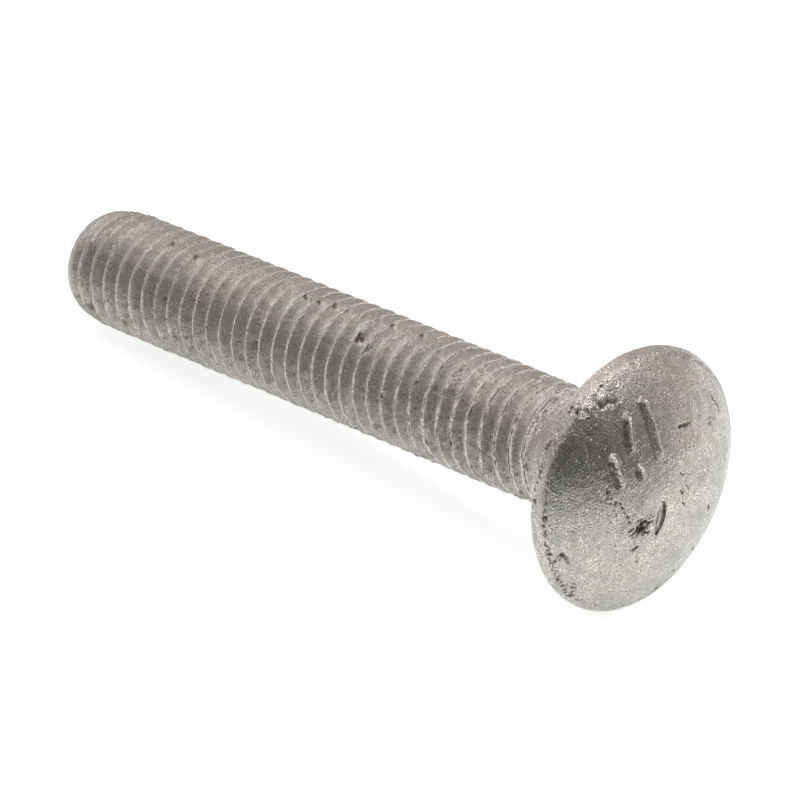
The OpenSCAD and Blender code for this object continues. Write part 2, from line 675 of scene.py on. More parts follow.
def grit_group() -> bpy.types.NodeTree:
    """Shared effect: fine grain and pinholes of the zinc.

    Returns:
        The group: sizes in, a height and the pinholes' mask out.
    """
    inputs = {"Vector": "Vector", "Float": "Grain Pin Share"}
    w, i, o = new_group("coat_grit", inputs, {"Float": "Height Mask"})
    grain = w.noise(i["Vector"], i["Grain"], 3.0, 0.65)
    cell = w.node("TexVoronoi", feature="F1")
    w.feed(cell, Vector=i["Vector"], Scale=i["Pin"], Randomness=1.0)
    picked = w.node("SeparateColor")
    w.put(picked.inputs[0], cell.outputs["Color"])
    held = w.math("LESS_THAN", picked.outputs[0], i["Share"])
    hole = w.math("MULTIPLY", w.ramp(cell.outputs["Distance"], 0.10, 0.34, 1.0, 0.0), held)
    w.put(o["Height"], w.math("SUBTRACT", grain, w.math("MULTIPLY", hole, 0.8)))
    w.put(o["Mask"], hole)
    return w.tree


def brush_group() -> bpy.types.NodeTree:
    """Shared effect: fine lines where the piece was rubbed, in broken patches.

    Returns:
        The group: a vector, its turn and sizes in, and a height out, which is 0 between lines.
    """
    inputs = {"Vector": "Vector Turn Stretch", "Float": "Patch"}
    w, i, o = new_group("coat_brush", inputs, {"Float": "Height"})
    turned = w.feed(w.node("Mapping", vector_type="POINT"), Vector=i["Vector"], Rotation=i["Turn"])
    lines = w.noise(w.vector("MULTIPLY", turned.outputs[0], i["Stretch"]), 1.0, 3.0, 0.7)
    patch = w.ramp(w.noise(i["Vector"], i["Patch"], 1.0), 0.42, 0.60)
    w.put(o["Height"], w.swing(lines, patch))
    return w.tree


def soil_group() -> bpy.types.NodeTree:
    """Shared effect: dirt and painted shade, rust, and rubbed metal and painted highlights over
    the coat.

    Returns:
        The group: the coat's colour and the three shares in, a colour, a roughness, a metallic
        share and the height of the rubbed metal's chatter out.
    """
    inputs = {"Vector": "Vector Drawn", "Color": "Color Rubbed"}
    inputs["Float"] = "Roughness Metallic Dirt Rust Edge Shine"
    outputs = {"Color": "Color", "Float": "Roughness Metallic Height"}
    w, i, o = new_group("coat_soil", inputs, outputs)
    break_up = w.noise(i["Vector"], SOIL_BREAK_UP, 3.0, 0.7)
    chatter = w.noise(w.vector("MULTIPLY", i["Vector"], i["Drawn"]), 1.0, 2.0, 0.7)
    rubbed = w.ramp(w.math("ADD", i["Edge"], w.swing(chatter, 1.7)), 0.15, 0.70)
    w.put(o["Height"], w.swing(chatter, w.ramp(i["Edge"], 0.05, 0.45)))
    spots = w.ramp(w.noise(i["Vector"], SOIL_SPOTS, 2.0, 0.65), 0.42, 0.34)
    spots = w.math("MULTIPLY", spots, w.ramp(i["Edge"], 0.10, 0.50))
    soiled = w.math("MAXIMUM", i["Dirt"], spots)
    dirt = w.ramp(w.math("ADD", soiled, w.swing(break_up, 0.9)), 0.16, 0.95)
    rust = w.ramp(w.math("ADD", i["Rust"], w.swing(break_up, 1.2)), 0.25, 0.85)
    hue = w.ramp(w.noise(i["Vector"], RUST_HUES, 2.0), 0.38, 0.62)
    tone = w.blend(rubbed, i["Color"], i["Rubbed"])
    tone = w.blend(w.math("MULTIPLY", rust, 0.85), tone, w.blend(hue, DARK_RUST, PALE_RUST))
    w.put(o["Color"], w.blend(w.math("MULTIPLY", dirt, 0.88), tone, DIRT_AND_SHADE))
    smooth = w.math("MULTIPLY", rubbed, i["Shine"])
    matt = w.math("MAXIMUM", w.math("MULTIPLY", rust, 0.30), w.math("MULTIPLY", dirt, 0.22))
    w.put(o["Roughness"], w.math("ADD", w.math("SUBTRACT", i["Roughness"], smooth), matt))
    cover = w.math("MAXIMUM", rust, w.math("MULTIPLY", dirt, 0.8))
    w.put(o["Metallic"], w.math("MULTIPLY", i["Metallic"], w.math("SUBTRACT", 1.0, cover)))
    return w.tree


@dataclass
class CoatEffects:
    """The shared effects, built once.

    Attributes:
        tone: colour of the coat.
        grit: grain and pinholes.
        brush: rubbed lines.
        soil: dirt and painted shade, rust, and rubbed metal and painted highlights.
    """

    tone: bpy.types.NodeTree
    grit: bpy.types.NodeTree
    brush: bpy.types.NodeTree
    soil: bpy.types.NodeTree

    @classmethod
    def build(cls) -> "CoatEffects":
        """Builds the four groups."""
        return cls(tone_group(), grit_group(), brush_group(), soil_group())


# -------------------- coat --------------------


@dataclass(frozen=True)
class ZincCoat:
    """Matt hot-dip zinc coat with its own blotches, grain and rubbed lines.

    Attributes:
        name: the material's name.
        light: colour of the light blotches.
        dark: colour of the dark blotches.
        tint: colour of the warm patches.
        rubbed: colour of rubbed metal, also used for painted highlights.
        blotch: blotches per metre.
        cloud: clouds per metre.
        speck: specks per metre.
        speckle: strength of the specks.
        roughness: mean roughness.
        metallic: how metallic the clean coat is.
        shine: how much smoother rubbed metal is.
        grain: grain per metre.
        pins: pinhole cells per metre.
        pin_share: share of the cells that hold a pinhole.
        relief: strength of the fine bump.
        brush_turn: turn of the rubbed lines, in radians.
        brush_stretch: lines per metre along each axis.
        brush_patch: patches of rubbed lines per metre.
        brush: strength of the rubbed lines.
        chatter: strength of the bump on rubbed metal.
        drawn: lines of that bump per metre along each axis.
    """

    name: str
    light: Colour = (0.565, 0.537, 0.502, 1.0)
    dark: Colour = (0.445, 0.424, 0.398, 1.0)
    tint: Colour = (0.55, 0.485, 0.432, 1.0)
    rubbed: Colour = (0.90, 0.85, 0.825, 1.0)
    blotch: float = 260.0
    cloud: float = 1100.0
    speck: float = 8800.0
    speckle: float = 3.0
    roughness: float = 0.31
    metallic: float = 0.97
    shine: float = 0.14
    grain: float = 5600.0
    pins: float = 3200.0
    pin_share: float = 0.20
    relief: float = 1.0
    brush_turn: Place = (0.0, 0.0, 0.0)
    brush_stretch: Place = (900.0, 900.0, 7000.0)
    brush_patch: float = 300.0
    brush: float = 0.0
    chatter: float = 2.5
    drawn: Place = (5200.0, 5200.0, 5200.0)

    def material(self, effects: CoatEffects) -> bpy.types.Material:
        """Builds the material from the shared effects.

        Args:
            effects: the shared effects.

        Returns:
            The new material.
        """
        mat = bpy.data.materials.new(self.name)
        w = Wiring.of(mat)
        place = w.node("TexCoord").outputs["Object"]
        share = {k: w.node("Attribute", attribute_name=k).outputs["Fac"] for k in LAYERS}
        tone = w.effect(
            effects.tone, Vector=place, Light=self.light, Dark=self.dark, Tint=self.tint,
            Blotch=self.blotch, Cloud=self.cloud, Speck=self.speck, Speckle=self.speckle,
        )
        grit = w.effect(
            effects.grit, Vector=place, Grain=self.grain, Pin=self.pins, Share=self.pin_share
        )
        brush = w.effect(
            effects.brush, Vector=place, Turn=self.brush_turn, Stretch=self.brush_stretch,
            Patch=self.brush_patch,
        )
        dirt = w.math("MAXIMUM", share["dirt"], w.math("MULTIPLY", grit["Mask"], 0.50))
        soil = w.effect(
            effects.soil, Vector=place, Color=tone["Color"], Metallic=self.metallic, Dirt=dirt,
            Roughness=w.math("ADD", self.roughness, w.swing(tone["Value"], -0.10)),
            Rust=share["rust"], Edge=share["edge"], Rubbed=self.rubbed, Shine=self.shine,
            Drawn=self.drawn,
        )
        height = w.math("ADD", grit["Height"], w.math("MULTIPLY", brush["Height"], self.brush))
        height = w.math("ADD", height, w.math("MULTIPLY", soil["Height"], self.chatter))
        bump = w.feed(w.node("Bump"), Strength=self.relief, Distance=0.05 * MM, Height=height)
        bsdf = w.feed(
            w.node("BsdfPrincipled"), Base_Color=soil["Color"], Roughness=soil["Roughness"],
            Metallic=soil["Metallic"], Normal=bump.outputs["Normal"],
        )
        w.feed(w.node("OutputMaterial"), Surface=bsdf.outputs["BSDF"])
        return mat


# -------------------- parts --------------------


@dataclass
class BoltPart:
    """A part of the bolt that is one piece: a closed skin under one coat.

    Attributes:
        name: the piece's name.
        coat: its finish.
        piece: the piece, once it is built.
    """

    name: str
    coat: ZincCoat
    piece: bpy.types.Object = field(init=False, repr=False)

    def skin(self) -> Skin:
        """The part's surface in the bolt's frame, which each part works out for itself."""
        raise NotImplementedError

    def build(self, where: BoltFrame) -> None:
        """Makes the piece at its place in the row frame, and hangs it on the bolt's body."""
        self.piece = make_piece(self.name, self.skin(), where)
        carry(self.piece)

    def dress(self, effects: CoatEffects) -> None:
        """Puts the coat on the piece."""
        self.piece.data.materials.clear()
        self.piece.data.materials.append(self.coat.material(effects))


# -------------------- marks --------------------


class MarkKind(Enum):
    """What a mark does to the surface that it lies on."""

    RIDGE = "ridge"
    GOUGE = "gouge"
    TEAR = "tear"
    SCRATCH = "scratch"
    STAIN = "stain"
    RUST = "rust"


@dataclass(frozen=True)
class Mark:
    """A straight mark with round ends, on the plane across the bolt's axis.

    Attributes:
        kind: what it does to the surface.
        start: one end, x and y in millimetres.
        end: the other end.
        width: full width in millimetres.
        height: height or depth in millimetres.
        soil: how much dirt, or rust, it holds; for a bar, how dark the painted shade beside it is.
        shine: how rubbed its top is; on the bars' knobs, a painted highlight.
    """

    kind: MarkKind
    start: tuple[float, float]
    end: tuple[float, float]
    width: float
    height: float
    soil: float = 0.8
    shine: float = 0.3

    def share(self, points: Array, spread: float = 1.0) -> Array:
        """How strongly the mark holds at each point.

        Formula: the share is a bell of the distance over half the width, times the spread. A gouge
        is a lens: its width shrinks to a third at its ends.

        Args:
            points: places in the bolt's frame, shape (n, 3).
            spread: how much wider than the mark the share reaches.

        Returns:
            Shares from 0 to 1, shape (n,).
        """
        t, far = beside(points[:, :2], self.start, self.end)
        half = 0.5 * self.width * spread
        if self.kind is MarkKind.GOUGE:
            half = half * (1.0 - 0.67 * (2.0 * t - 1.0) ** 2)
        return bell(far / half)


def scratch_path(
    width: float, depth: float, soil: float, *path: tuple[float, float]
) -> list[Mark]:
    """A chain of scratches along a path.

    Args:
        width: full width in millimetres.
        depth: depth in millimetres.
        soil: how much dirt it holds.
        path: places, x and y in millimetres.

    Returns:
        One mark for each step of the path.
    """
    pairs = zip(path[:-1], path[1:])
    return [Mark(MarkKind.SCRATCH, a, b, width, depth, soil) for a, b in pairs]


def head_marks() -> tuple[Mark, ...]:
    """The head's marks: worn bars, a gouge, a torn patch, scratches, nicks, stains and rust.

    Returns:
        All the marks of the dome.
    """
    ridge, gouge, tear, nick = MarkKind.RIDGE, MarkKind.GOUGE, MarkKind.TEAR, MarkKind.SCRATCH
    rust, stain = MarkKind.RUST, MarkKind.STAIN
    marks = [
        # Bars: raised, with painted shade beside them on one side.
        Mark(ridge, (-7.35, 1.50), (-3.70, 1.30), 0.98, 0.42),
        Mark(ridge, (-6.70, 3.30), (-4.90, 3.65), 1.00, 0.42, 1.1),
        Mark(ridge, (-4.30, 5.20), (-2.50, 4.95), 1.00, 0.40, 1.2),
        Mark(ridge, (-3.10, 3.20), (-2.60, 3.10), 0.90, 0.30, 1.1),
        # Knobs at the bars' upper ends: small bumps whose brightly rubbed tops are a painted
        # highlight.
        Mark(ridge, (-7.45, 1.52), (-7.30, 1.50), 0.74, 0.22, 0.0, 1.2),
        Mark(ridge, (-6.75, 3.25), (-6.60, 3.30), 0.80, 0.20, 0.0, 1.2),
        Mark(ridge, (-4.35, 5.22), (-4.15, 5.20), 0.80, 0.18, 0.0, 1.1),
        Mark(ridge, (-3.15, 3.22), (-3.00, 3.20), 0.66, 0.16, 0.0, 1.1),
        Mark(gouge, (0.25, 1.25), (2.72, 1.74), 0.98, 0.22, 1.0),
        Mark(nick, (-4.72, -1.30), (-4.52, -2.32), 0.46, 0.12, 1.0),
        Mark(tear, (1.70, 4.05), (1.35, 2.75), 1.30, 0.22, 1.0),
        Mark(tear, (2.25, 2.80), (1.95, 2.50), 0.90, 0.14, 0.9),
        Mark(nick, (3.44, 3.86), (3.24, 3.48), 0.34, 0.10, 1.0),
        Mark(nick, (4.62, 3.40), (4.78, 3.12), 0.30, 0.10, 0.9),
        Mark(nick, (9.35, -1.10), (9.50, -1.35), 0.45, 0.10, 1.0),
        Mark(nick, (3.15, -4.62), (3.60, -4.90), 0.48, 0.14, 1.0),
        Mark(nick, (6.75, -4.08), (7.00, -4.28), 0.48, 0.12, 1.0),
        Mark(nick, (8.00, -2.30), (8.20, -2.45), 0.40, 0.10, 0.9),
        Mark(nick, (-1.42, -0.62), (-1.25, -0.78), 0.34, 0.08, 0.9),
        Mark(nick, (0.00, -0.55), (0.25, -0.75), 0.32, 0.08, 1.0),
        Mark(nick, (1.05, -0.80), (1.20, -0.95), 0.26, 0.08, 0.8),
        Mark(nick, (7.60, 3.20), (7.70, 3.05), 0.24, 0.08, 0.6),
        Mark(rust, (-8.05, 3.85), (-8.45, 4.10), 1.55, 0.12, 0.80),
        Mark(rust, (-7.95, 5.40), (-8.35, 4.90), 1.30, 0.12, 0.75),
        Mark(rust, (-8.15, 6.10), (-7.90, 6.65), 1.20, 0.12, 0.85),
        Mark(rust, (-8.70, 5.90), (-9.60, 3.20), 0.60, 0.03, 0.45),
        Mark(rust, (-6.15, 8.70), (-6.65, 8.35), 0.70, 0.03, 0.62),
        Mark(rust, (-8.55, -4.40), (-8.40, -4.20), 0.75, 0.03, 0.50),
        Mark(rust, (-3.70, -5.30), (-3.05, -5.90), 1.70, 0.02, 0.38),
        Mark(rust, (1.30, 3.60), (1.70, 2.80), 1.60, 0.00, 0.45),
        Mark(stain, (-3.00, 5.75), (0.10, 5.85), 1.50, 0.00, 0.62),
        Mark(stain, (5.30, 8.30), (6.30, 7.80), 1.30, 0.00, 0.70),
        Mark(stain, (-6.30, 6.60), (-5.20, 7.40), 1.80, 0.00, 0.45),
        Mark(stain, (1.60, -0.30), (-0.80, -1.60), 1.60, 0.00, 0.38),
        Mark(stain, (1.20, 4.40), (2.20, 2.10), 2.60, 0.00, 0.40),
    ]
    marks += scratch_path(
        0.42, 0.10, 0.75, (2.95, 9.56), (2.57, 9.38), (2.39, 9.18), (2.72, 8.90), (3.22, 8.66)
    )
    marks += scratch_path(
        0.30, 0.06, 0.75, (-4.95, -6.20), (-4.46, -6.55), (-3.80, -7.00), (-3.25, -7.00)
    )
    marks += scratch_path(
        0.20, 0.03, 0.32, (-7.74, -0.58), (-7.55, -2.74), (-6.58, -4.73), (-5.32, -5.78)
    )
    marks += scratch_path(0.22, 0.04, 0.35, (-2.2, -7.3), (-0.9, -7.5), (0.4, -7.2))
    marks += scratch_path(0.34, 0.03, 0.30, (-7.4, 6.3), (-5.5, 6.9), (-3.2, 7.0), (-1.5, 6.6))
    marks += scratch_path(0.22, 0.03, 0.25, (-8.9, -1.5), (-7.9, -4.2), (-6.2, -6.6))
    hairs = (
        (-5.05, 2.75), (-4.40, 2.80), (-3.25, -0.60), (-3.50, 1.85), (-2.35, 0.20), (-3.90, 1.00),
        (-1.10, -3.20),
    )
    for x, y in hairs:
        marks.append(Mark(nick, (x + 0.22, y + 0.95), (x - 0.22, y - 0.95), 0.15, 0.02, 0.0))
    for x, y in ((-0.99, 5.17), (-0.60, 5.02), (-0.17, 4.84), (0.28, 4.62), (0.75, 4.40)):
        marks.append(Mark(nick, (x, y), (x + 0.12, y - 0.08), 0.30, 0.08, 0.95))
    return tuple(marks)


# -------------------- head --------------------


@dataclass
class HeadWear(Wear):
    """Wears the head: forged roughness, pits, the dirty line round its dome, and its marks.

    Attributes:
        past: number of each point's ring, counted from the first ring of the dome's rounded edge,
            so the dome is below 0. That edge is 0 to 6, the wall 7 to 18, the turn under 19 to 26,
            and the bearing face the rest.
    """

    past: Array

    def __post_init__(self) -> None:
        """Works out the noise that the methods share, and the forged roughness.

        Formula: the jagged noise is drawn out along one direction, as torn metal is. The front is
        1 on the dome and 0 from the turn under on.
        """
        super().__post_init__()
        p, x, y = self.points, self.points[:, 0], self.points[:, 1]
        self.turn = turns_of(p)
        self.front = smooth_step(19.0, 10.0, self.past)
        self.rough, self.mid = value_noise(p, 0.30, 61), fractal_noise(p, 0.8, 63, 2)
        self.crumb = value_noise(p, 0.19, 68)
        self.holes = pit_field(p, 0.42, 0.60, 0.20, 48)
        drawn = np.stack([0.85 * x - 0.50 * y, 0.14 * x + 0.23 * y, 0.0 * x], axis=1)
        self.jag = value_noise(drawn, 0.13, 64) + 0.5 * value_noise(p, 0.22, 65)
        self.height += 0.050 * fractal_noise(p, 3.4, 3, 2) + 0.014 * fractal_noise(p, 0.9, 8, 2)
        self.height += 0.009 * value_noise(p, 0.34, 12)

    def pits(self) -> None:
        """Pits in patches over the head and along the dome's edge, and fine ones low down."""
        p, turn = self.points, self.turn
        patch = smooth_step(0.0, 0.6, fractal_noise(p, 2.4, 66, 2))
        wide = pit_field(p, 0.85, 0.20, 0.22, 40) * (0.15 + 0.55 * patch)
        low = band(turn, -10.0, 25.0, 55.0, 75.0) * self.front
        low = low * smooth_step(8.8, 9.7, np.hypot(p[:, 0], p[:, 1]))
        fine = pit_field(p, 0.45, 0.35, 0.19, 44) * low
        lip = band(self.past, -5.0, 1.0, 8.0, 14.0)
        lip = lip * pit_field(p, 0.55, 0.30, 0.24, 47)
        self.height -= 0.06 * wide + 0.05 * fine + 0.08 * lip
        self.soil(dirt=np.maximum.reduce([0.45 * wide, 0.6 * fine, 0.7 * lip]))

    def edge_line(self) -> None:
        """A ragged line of dirt and rust between dome and wall, a rubbed wall, and painted shade
        that darkens one side of the dome.

        Formula: the line runs over the rings of the dome's rounded edge, moved up and down by
        noise and broken by finer noise, least on the side at 62 to 108 degrees.
        """
        p, past, turn, mid = self.points, self.past, self.turn, self.mid
        ragged = past + 3.0 * mid + 2.0 * self.crumb
        seam = band(ragged, -4.0, -1.0, 4.5, 7.5)
        side = band(turn, 52.0, 62.0, 108.0, 122.0)
        broken = 1.1 * value_noise(p, 0.11, 69) + 0.30 * self.crumb + 0.25 * mid
        broken = broken + 0.34 * side - 0.17
        line = seam * (0.60 + 0.40 * side) * smooth_step(0.0, 0.30, broken)
        foot = band(past, 12.0, 15.0, 20.0, 23.0)
        foot = foot * band(turn, 95.0, 102.0, 122.0, 132.0)
        foot = foot * smooth_step(0.1, 0.5, self.crumb)
        # Painted shade: the dome is darkened smoothly towards one side, put in the dirt layer.
        side_shade = smooth_step(-1.5, 4.5, 0.35 * p[:, 0] - 0.9 * p[:, 1])
        side_shade = side_shade * (1.0 + 0.5 * mid) * self.front
        wall = band(past, 3.0, 9.0, 19.0, 25.0)
        self.height -= 0.07 * line
        dirt = np.maximum.reduce([0.46 * line, 0.8 * foot, 0.20 * side_shade])
        self.soil(dirt, line * (0.58 + 0.3 * mid), 0.12 * wall)

    def add(self, mark: Mark) -> None:
        """Wears the head by one mark.

        Args:
            mark: the mark.
        """
        ways = {
            MarkKind.RIDGE: self.raise_bar,
            MarkKind.GOUGE: self.cut_gouge,
            MarkKind.TEAR: self.tear_patch,
            MarkKind.SCRATCH: self.cut_scratch,
            MarkKind.STAIN: self.spot_stain,
            MarkKind.RUST: self.grow_rust,
        }
        ways[mark.kind](mark, mark.share(self.points) * self.front)

    def raise_bar(self, mark: Mark, share: Array) -> None:
        """A worn bar: raised, rubbed on top, and with painted shade on one side, where its share
        moved to that side holds.

        Args:
            mark: the mark.
            share: how strongly it holds at each point.
        """
        # Painted shade beside the bar on one side, put in the dirt layer.
        side = mark.share(self.points - np.array([0.26, 0.24, 0.0]), 0.80)
        side = side * (1.0 - 0.7 * smooth_step(0.6, 0.9, share))
        dirt = smooth_step(0.05, 0.45, side) * self.front * (0.92 + 0.2 * self.rough)
        self.height += mark.height * share * (0.9 + 0.2 * self.mid)
        self.soil(dirt=0.66 * mark.soil * dirt, edge=mark.shine * smooth_step(0.45, 1.0, share))

    def cut_gouge(self, mark: Mark, share: Array) -> None:
        """A clean cut, dirtiest along its rim.

        Args:
            mark: the mark.
            share: how strongly it holds at each point.
        """
        rim = smooth_step(0.0, 0.06, share) * (1.0 - 0.60 * smooth_step(0.58, 0.86, share))
        self.height -= mark.height * share
        self.soil(dirt=mark.soil * rim * (0.85 + 0.3 * self.rough))

    def tear_patch(self, mark: Mark, share: Array) -> None:
        """A torn patch: jagged noise over a threshold is torn out, the rest is bright burrs.

        Args:
            mark: the mark.
            share: how strongly it holds at each point.
        """
        torn = smooth_step(0.06, 0.20, self.jag + 0.9 * (share - 0.60))
        torn = smooth_step(0.0, 0.06, share) * torn
        burr = mark.share(self.points, 1.25) * (1.0 - torn) * self.front
        self.height -= mark.height * torn * (0.8 + 0.3 * self.rough)
        self.height += 0.06 * burr * smooth_step(-0.3, 0.4, -self.jag)
        dirt = mark.soil * torn * (0.72 + 0.6 * self.crumb)
        self.soil(dirt, torn, 0.75 * burr * smooth_step(0.1, 0.6, -self.jag))

    def cut_scratch(self, mark: Mark, share: Array) -> None:
        """A fine cut: dirty where the mark holds dirt, and bright where it holds none.

        Args:
            mark: the mark.
            share: how strongly it holds at each point.
        """
        self.height -= mark.height * share
        if mark.soil > 0.0:
            dirt = smooth_step(0.05, 0.6, share) * (0.75 + 0.35 * self.rough)
            self.soil(dirt=mark.soil * dirt)
        else:
            self.soil(edge=0.55 * share * smooth_step(-0.5, 0.2, self.rough))

    def spot_stain(self, mark: Mark, share: Array) -> None:
        """Spots of dirt, hardly sunk in.

        Args:
            mark: the mark.
            share: how strongly it holds at each point.
        """
        spots = smooth_step(-0.10, 0.40, self.crumb + 0.5 * self.mid)
        spots = spots * smooth_step(0.0, 0.5, share)
        self.height -= 0.015 * spots
        self.soil(dirt=mark.soil * spots)

    def grow_rust(self, mark: Mark, share: Array) -> None:
        """A clump of rust: lumps of noise with holes, dark in the hollows and bright on top.

        Args:
            mark: the mark.
            share: how strongly it holds at each point.
        """
        rough, mid, within = self.rough, self.mid, smooth_step(0.0, 0.3, share)
        clump = share * smooth_step(-0.35, 0.45, rough + 0.4 * mid) - 0.9 * self.holes * within
        self.height += mark.height * clump - 0.10 * share * smooth_step(0.2, 0.7, -rough)
        spread = smooth_step(0.15, 0.75, share + 0.45 * mid) * smooth_step(0.0, 0.25, share)
        dark = np.maximum(smooth_step(0.20, 0.65, -rough), self.holes)
        dark = dark * smooth_step(0.0, 0.35, share)
        flecks = within * smooth_step(0.10, 0.40, rough) * (1.0 - self.holes)
        self.soil(
            dirt=mark.soil * dark * min(1.0, 12.0 * mark.height),
            rust=mark.soil * spread * (0.65 + 0.5 * mid) * self.front,
            edge=6.5 * mark.height * flecks,
        )


@dataclass
class ForgedHead(BoltPart):
    """Domed head: a flange that leans a little on the shank, and a dome that leans on the flange.

    Attributes:
        radius: mean radius of the flange.
        lean: tip of the whole head towards its far side, in degrees.
        lean_turn: direction of the edge that tips away from the shank, in degrees.
        shift: offset of the head across the axis, x and y.
        out_of_round: (turns, size, phase) of each wave of the flange's radius.
        edge_mean: mean height of the dome's edge over the bearing face.
        edge_lean: how much higher the dome's edge is at lean_turn than the mean.
        dome_rise: height of the dome over its edge.
        lip_near: how far the dome's edge stands in from the rim at lean_turn.
        lip_far: how far it stands in on the other side.
        lip_start: share of the way from the dome's edge to the rim at which the wall begins.
        fillet: radius of the turn under.
        dome_stop: share of the edge's radius at which the dome gives way to its rounded edge.
        inner_radius: radius, inside the neck, to which the bearing face runs.
        rings_of: number of rings of the dome, its rounded edge, the wall, the turn under and the
            bearing face.
        columns: points round the head.
        marks: the marks of the dome.
    """

    name: str = "forged_head"
    coat: ZincCoat = ZincCoat("head_coat", brush=0.4, brush_turn=(0.15, 0.0, 0.0))
    radius: float = 10.35
    lean: float = 3.1
    lean_turn: float = 128.7
    shift: tuple[float, float] = (-0.04, 0.32)
    out_of_round: tuple[tuple[int, float, float], ...] = ((2, 0.14, -63.0), (3, 0.03, 23.0))
    edge_mean: float = 1.08
    edge_lean: float = 0.31
    dome_rise: float = 3.6
    lip_near: float = 0.14
    lip_far: float = 0.45
    lip_start: float = 0.18
    fillet: float = 0.45
    dome_stop: float = 0.985
    inner_radius: float = 3.0
    rings_of: tuple[int, ...] = (131, 7, 12, 8, 29)
    columns: int = 440
    marks: tuple[Mark, ...] = field(default_factory=head_marks)

    def profile(self) -> tuple[Array, Array]:
        """Radius and height of the head's rings, from the top of the dome to the bearing face.

        Formula: the dome is the cap of a ball over the plane of its edge, which leans. Its edge is
        rounded by a quadratic curve into the wall, the wall runs to the flange's widest radius,
        and a quarter circle turns it into the bearing face.

        Returns:
            Radius and height, each of shape (rings, columns), with the first ring at the top.
        """
        dome_rings, edge_rings, wall_rings, turn_rings, face_rings = self.rings_of
        turn = np.arange(self.columns) * 360.0 / self.columns
        lean = np.cos(np.radians(turn - self.lean_turn))
        rim = np.full(self.columns, self.radius)
        for waves, size, phase in self.out_of_round:
            rim = rim + size * np.cos(np.radians(waves * (turn - phase)))
        edge_r = rim - self.lip_far - 0.5 * (self.lip_near - self.lip_far) * (1.0 + lean)
        edge_h = self.edge_mean + self.edge_lean * lean
        ball = (edge_r**2 + self.dome_rise**2) / (2.0 * self.dome_rise)

        def dome(share: float) -> tuple[Array, Array]:
            """Radius and height of the dome at a share of its edge's radius."""
            cap = np.sqrt(ball**2 - (share * edge_r) ** 2) - (ball - self.dome_rise)
            return share * edge_r, cap + self.edge_mean + self.edge_lean * share * lean

        rings = [dome(share) for share in steps(dome_rings, self.dome_stop)]
        a_r, a_h = rings[-1]
        wall_h = np.minimum(self.fillet, 0.75 * edge_h)
        b_r = edge_r + self.lip_start * (rim - edge_r)
        b_h = edge_h + self.lip_start * (wall_h - edge_h)
        for t in steps(edge_rings):
            a, e, b = (1.0 - t) ** 2, 2.0 * t * (1.0 - t), t * t
            rings.append((a * a_r + e * edge_r + b * b_r, a * a_h + e * edge_h + b * b_h))
        rings += [(b_r + t * (rim - b_r), b_h + t * (wall_h - b_h)) for t in steps(wall_rings)]
        for t in steps(turn_rings, 0.5 * math.pi):
            rings.append((rim - wall_h * (1.0 - math.cos(t)), wall_h * (1.0 - math.sin(t))))
        face_r = rings[-1][0]
        for t in steps(face_rings):
            rings.append((face_r + t * (self.inner_radius - face_r), np.zeros(self.columns)))
        radii, heights = zip(*rings)
        return np.array(radii), np.array(heights)

    def rings(self) -> Array:
        """Rings of the head in the bolt's frame, leaned and shifted.

        Formula: a point at radius r, angle q and height h lies at (r cos q, r sin q, -h). It is
        then turned by the lean about the line across lean_turn through the centre of the bearing
        face, and shifted across the axis.

        Returns:
            Places, shape (rings, columns, 3).
        """
        radius, height = self.profile()
        p = around(radius, round_turn(self.columns), -height)
        way, tip = math.radians(self.lean_turn), math.radians(self.lean)
        near = np.array([math.cos(way), math.sin(way), 0.0])
        along = p @ near
        z = p[..., 2].copy()
        p = p + (along * (math.cos(tip) - 1.0) + z * math.sin(tip))[..., None] * near
        p[..., 2] = z * math.cos(tip) - along * math.sin(tip)
        return p + np.array([*self.shift, 0.0])

    def skin(self) -> Skin:
        """The head's surface with its wear.

        Returns:
            The closed skin, with the layers for its coat.
        """
        skin = ring_stack(self.rings())
        ring = np.repeat(np.arange(sum(self.rings_of)), self.columns)
        ring = np.append(ring, [0, sum(self.rings_of)])
        worn = HeadWear(skin.points, ring - self.rings_of[0])
        worn.pits()
        worn.edge_line()
        for mark in self.marks:
            worn.add(mark)
        worn.put_on(skin)
        return skin


# -------------------- neck --------------------


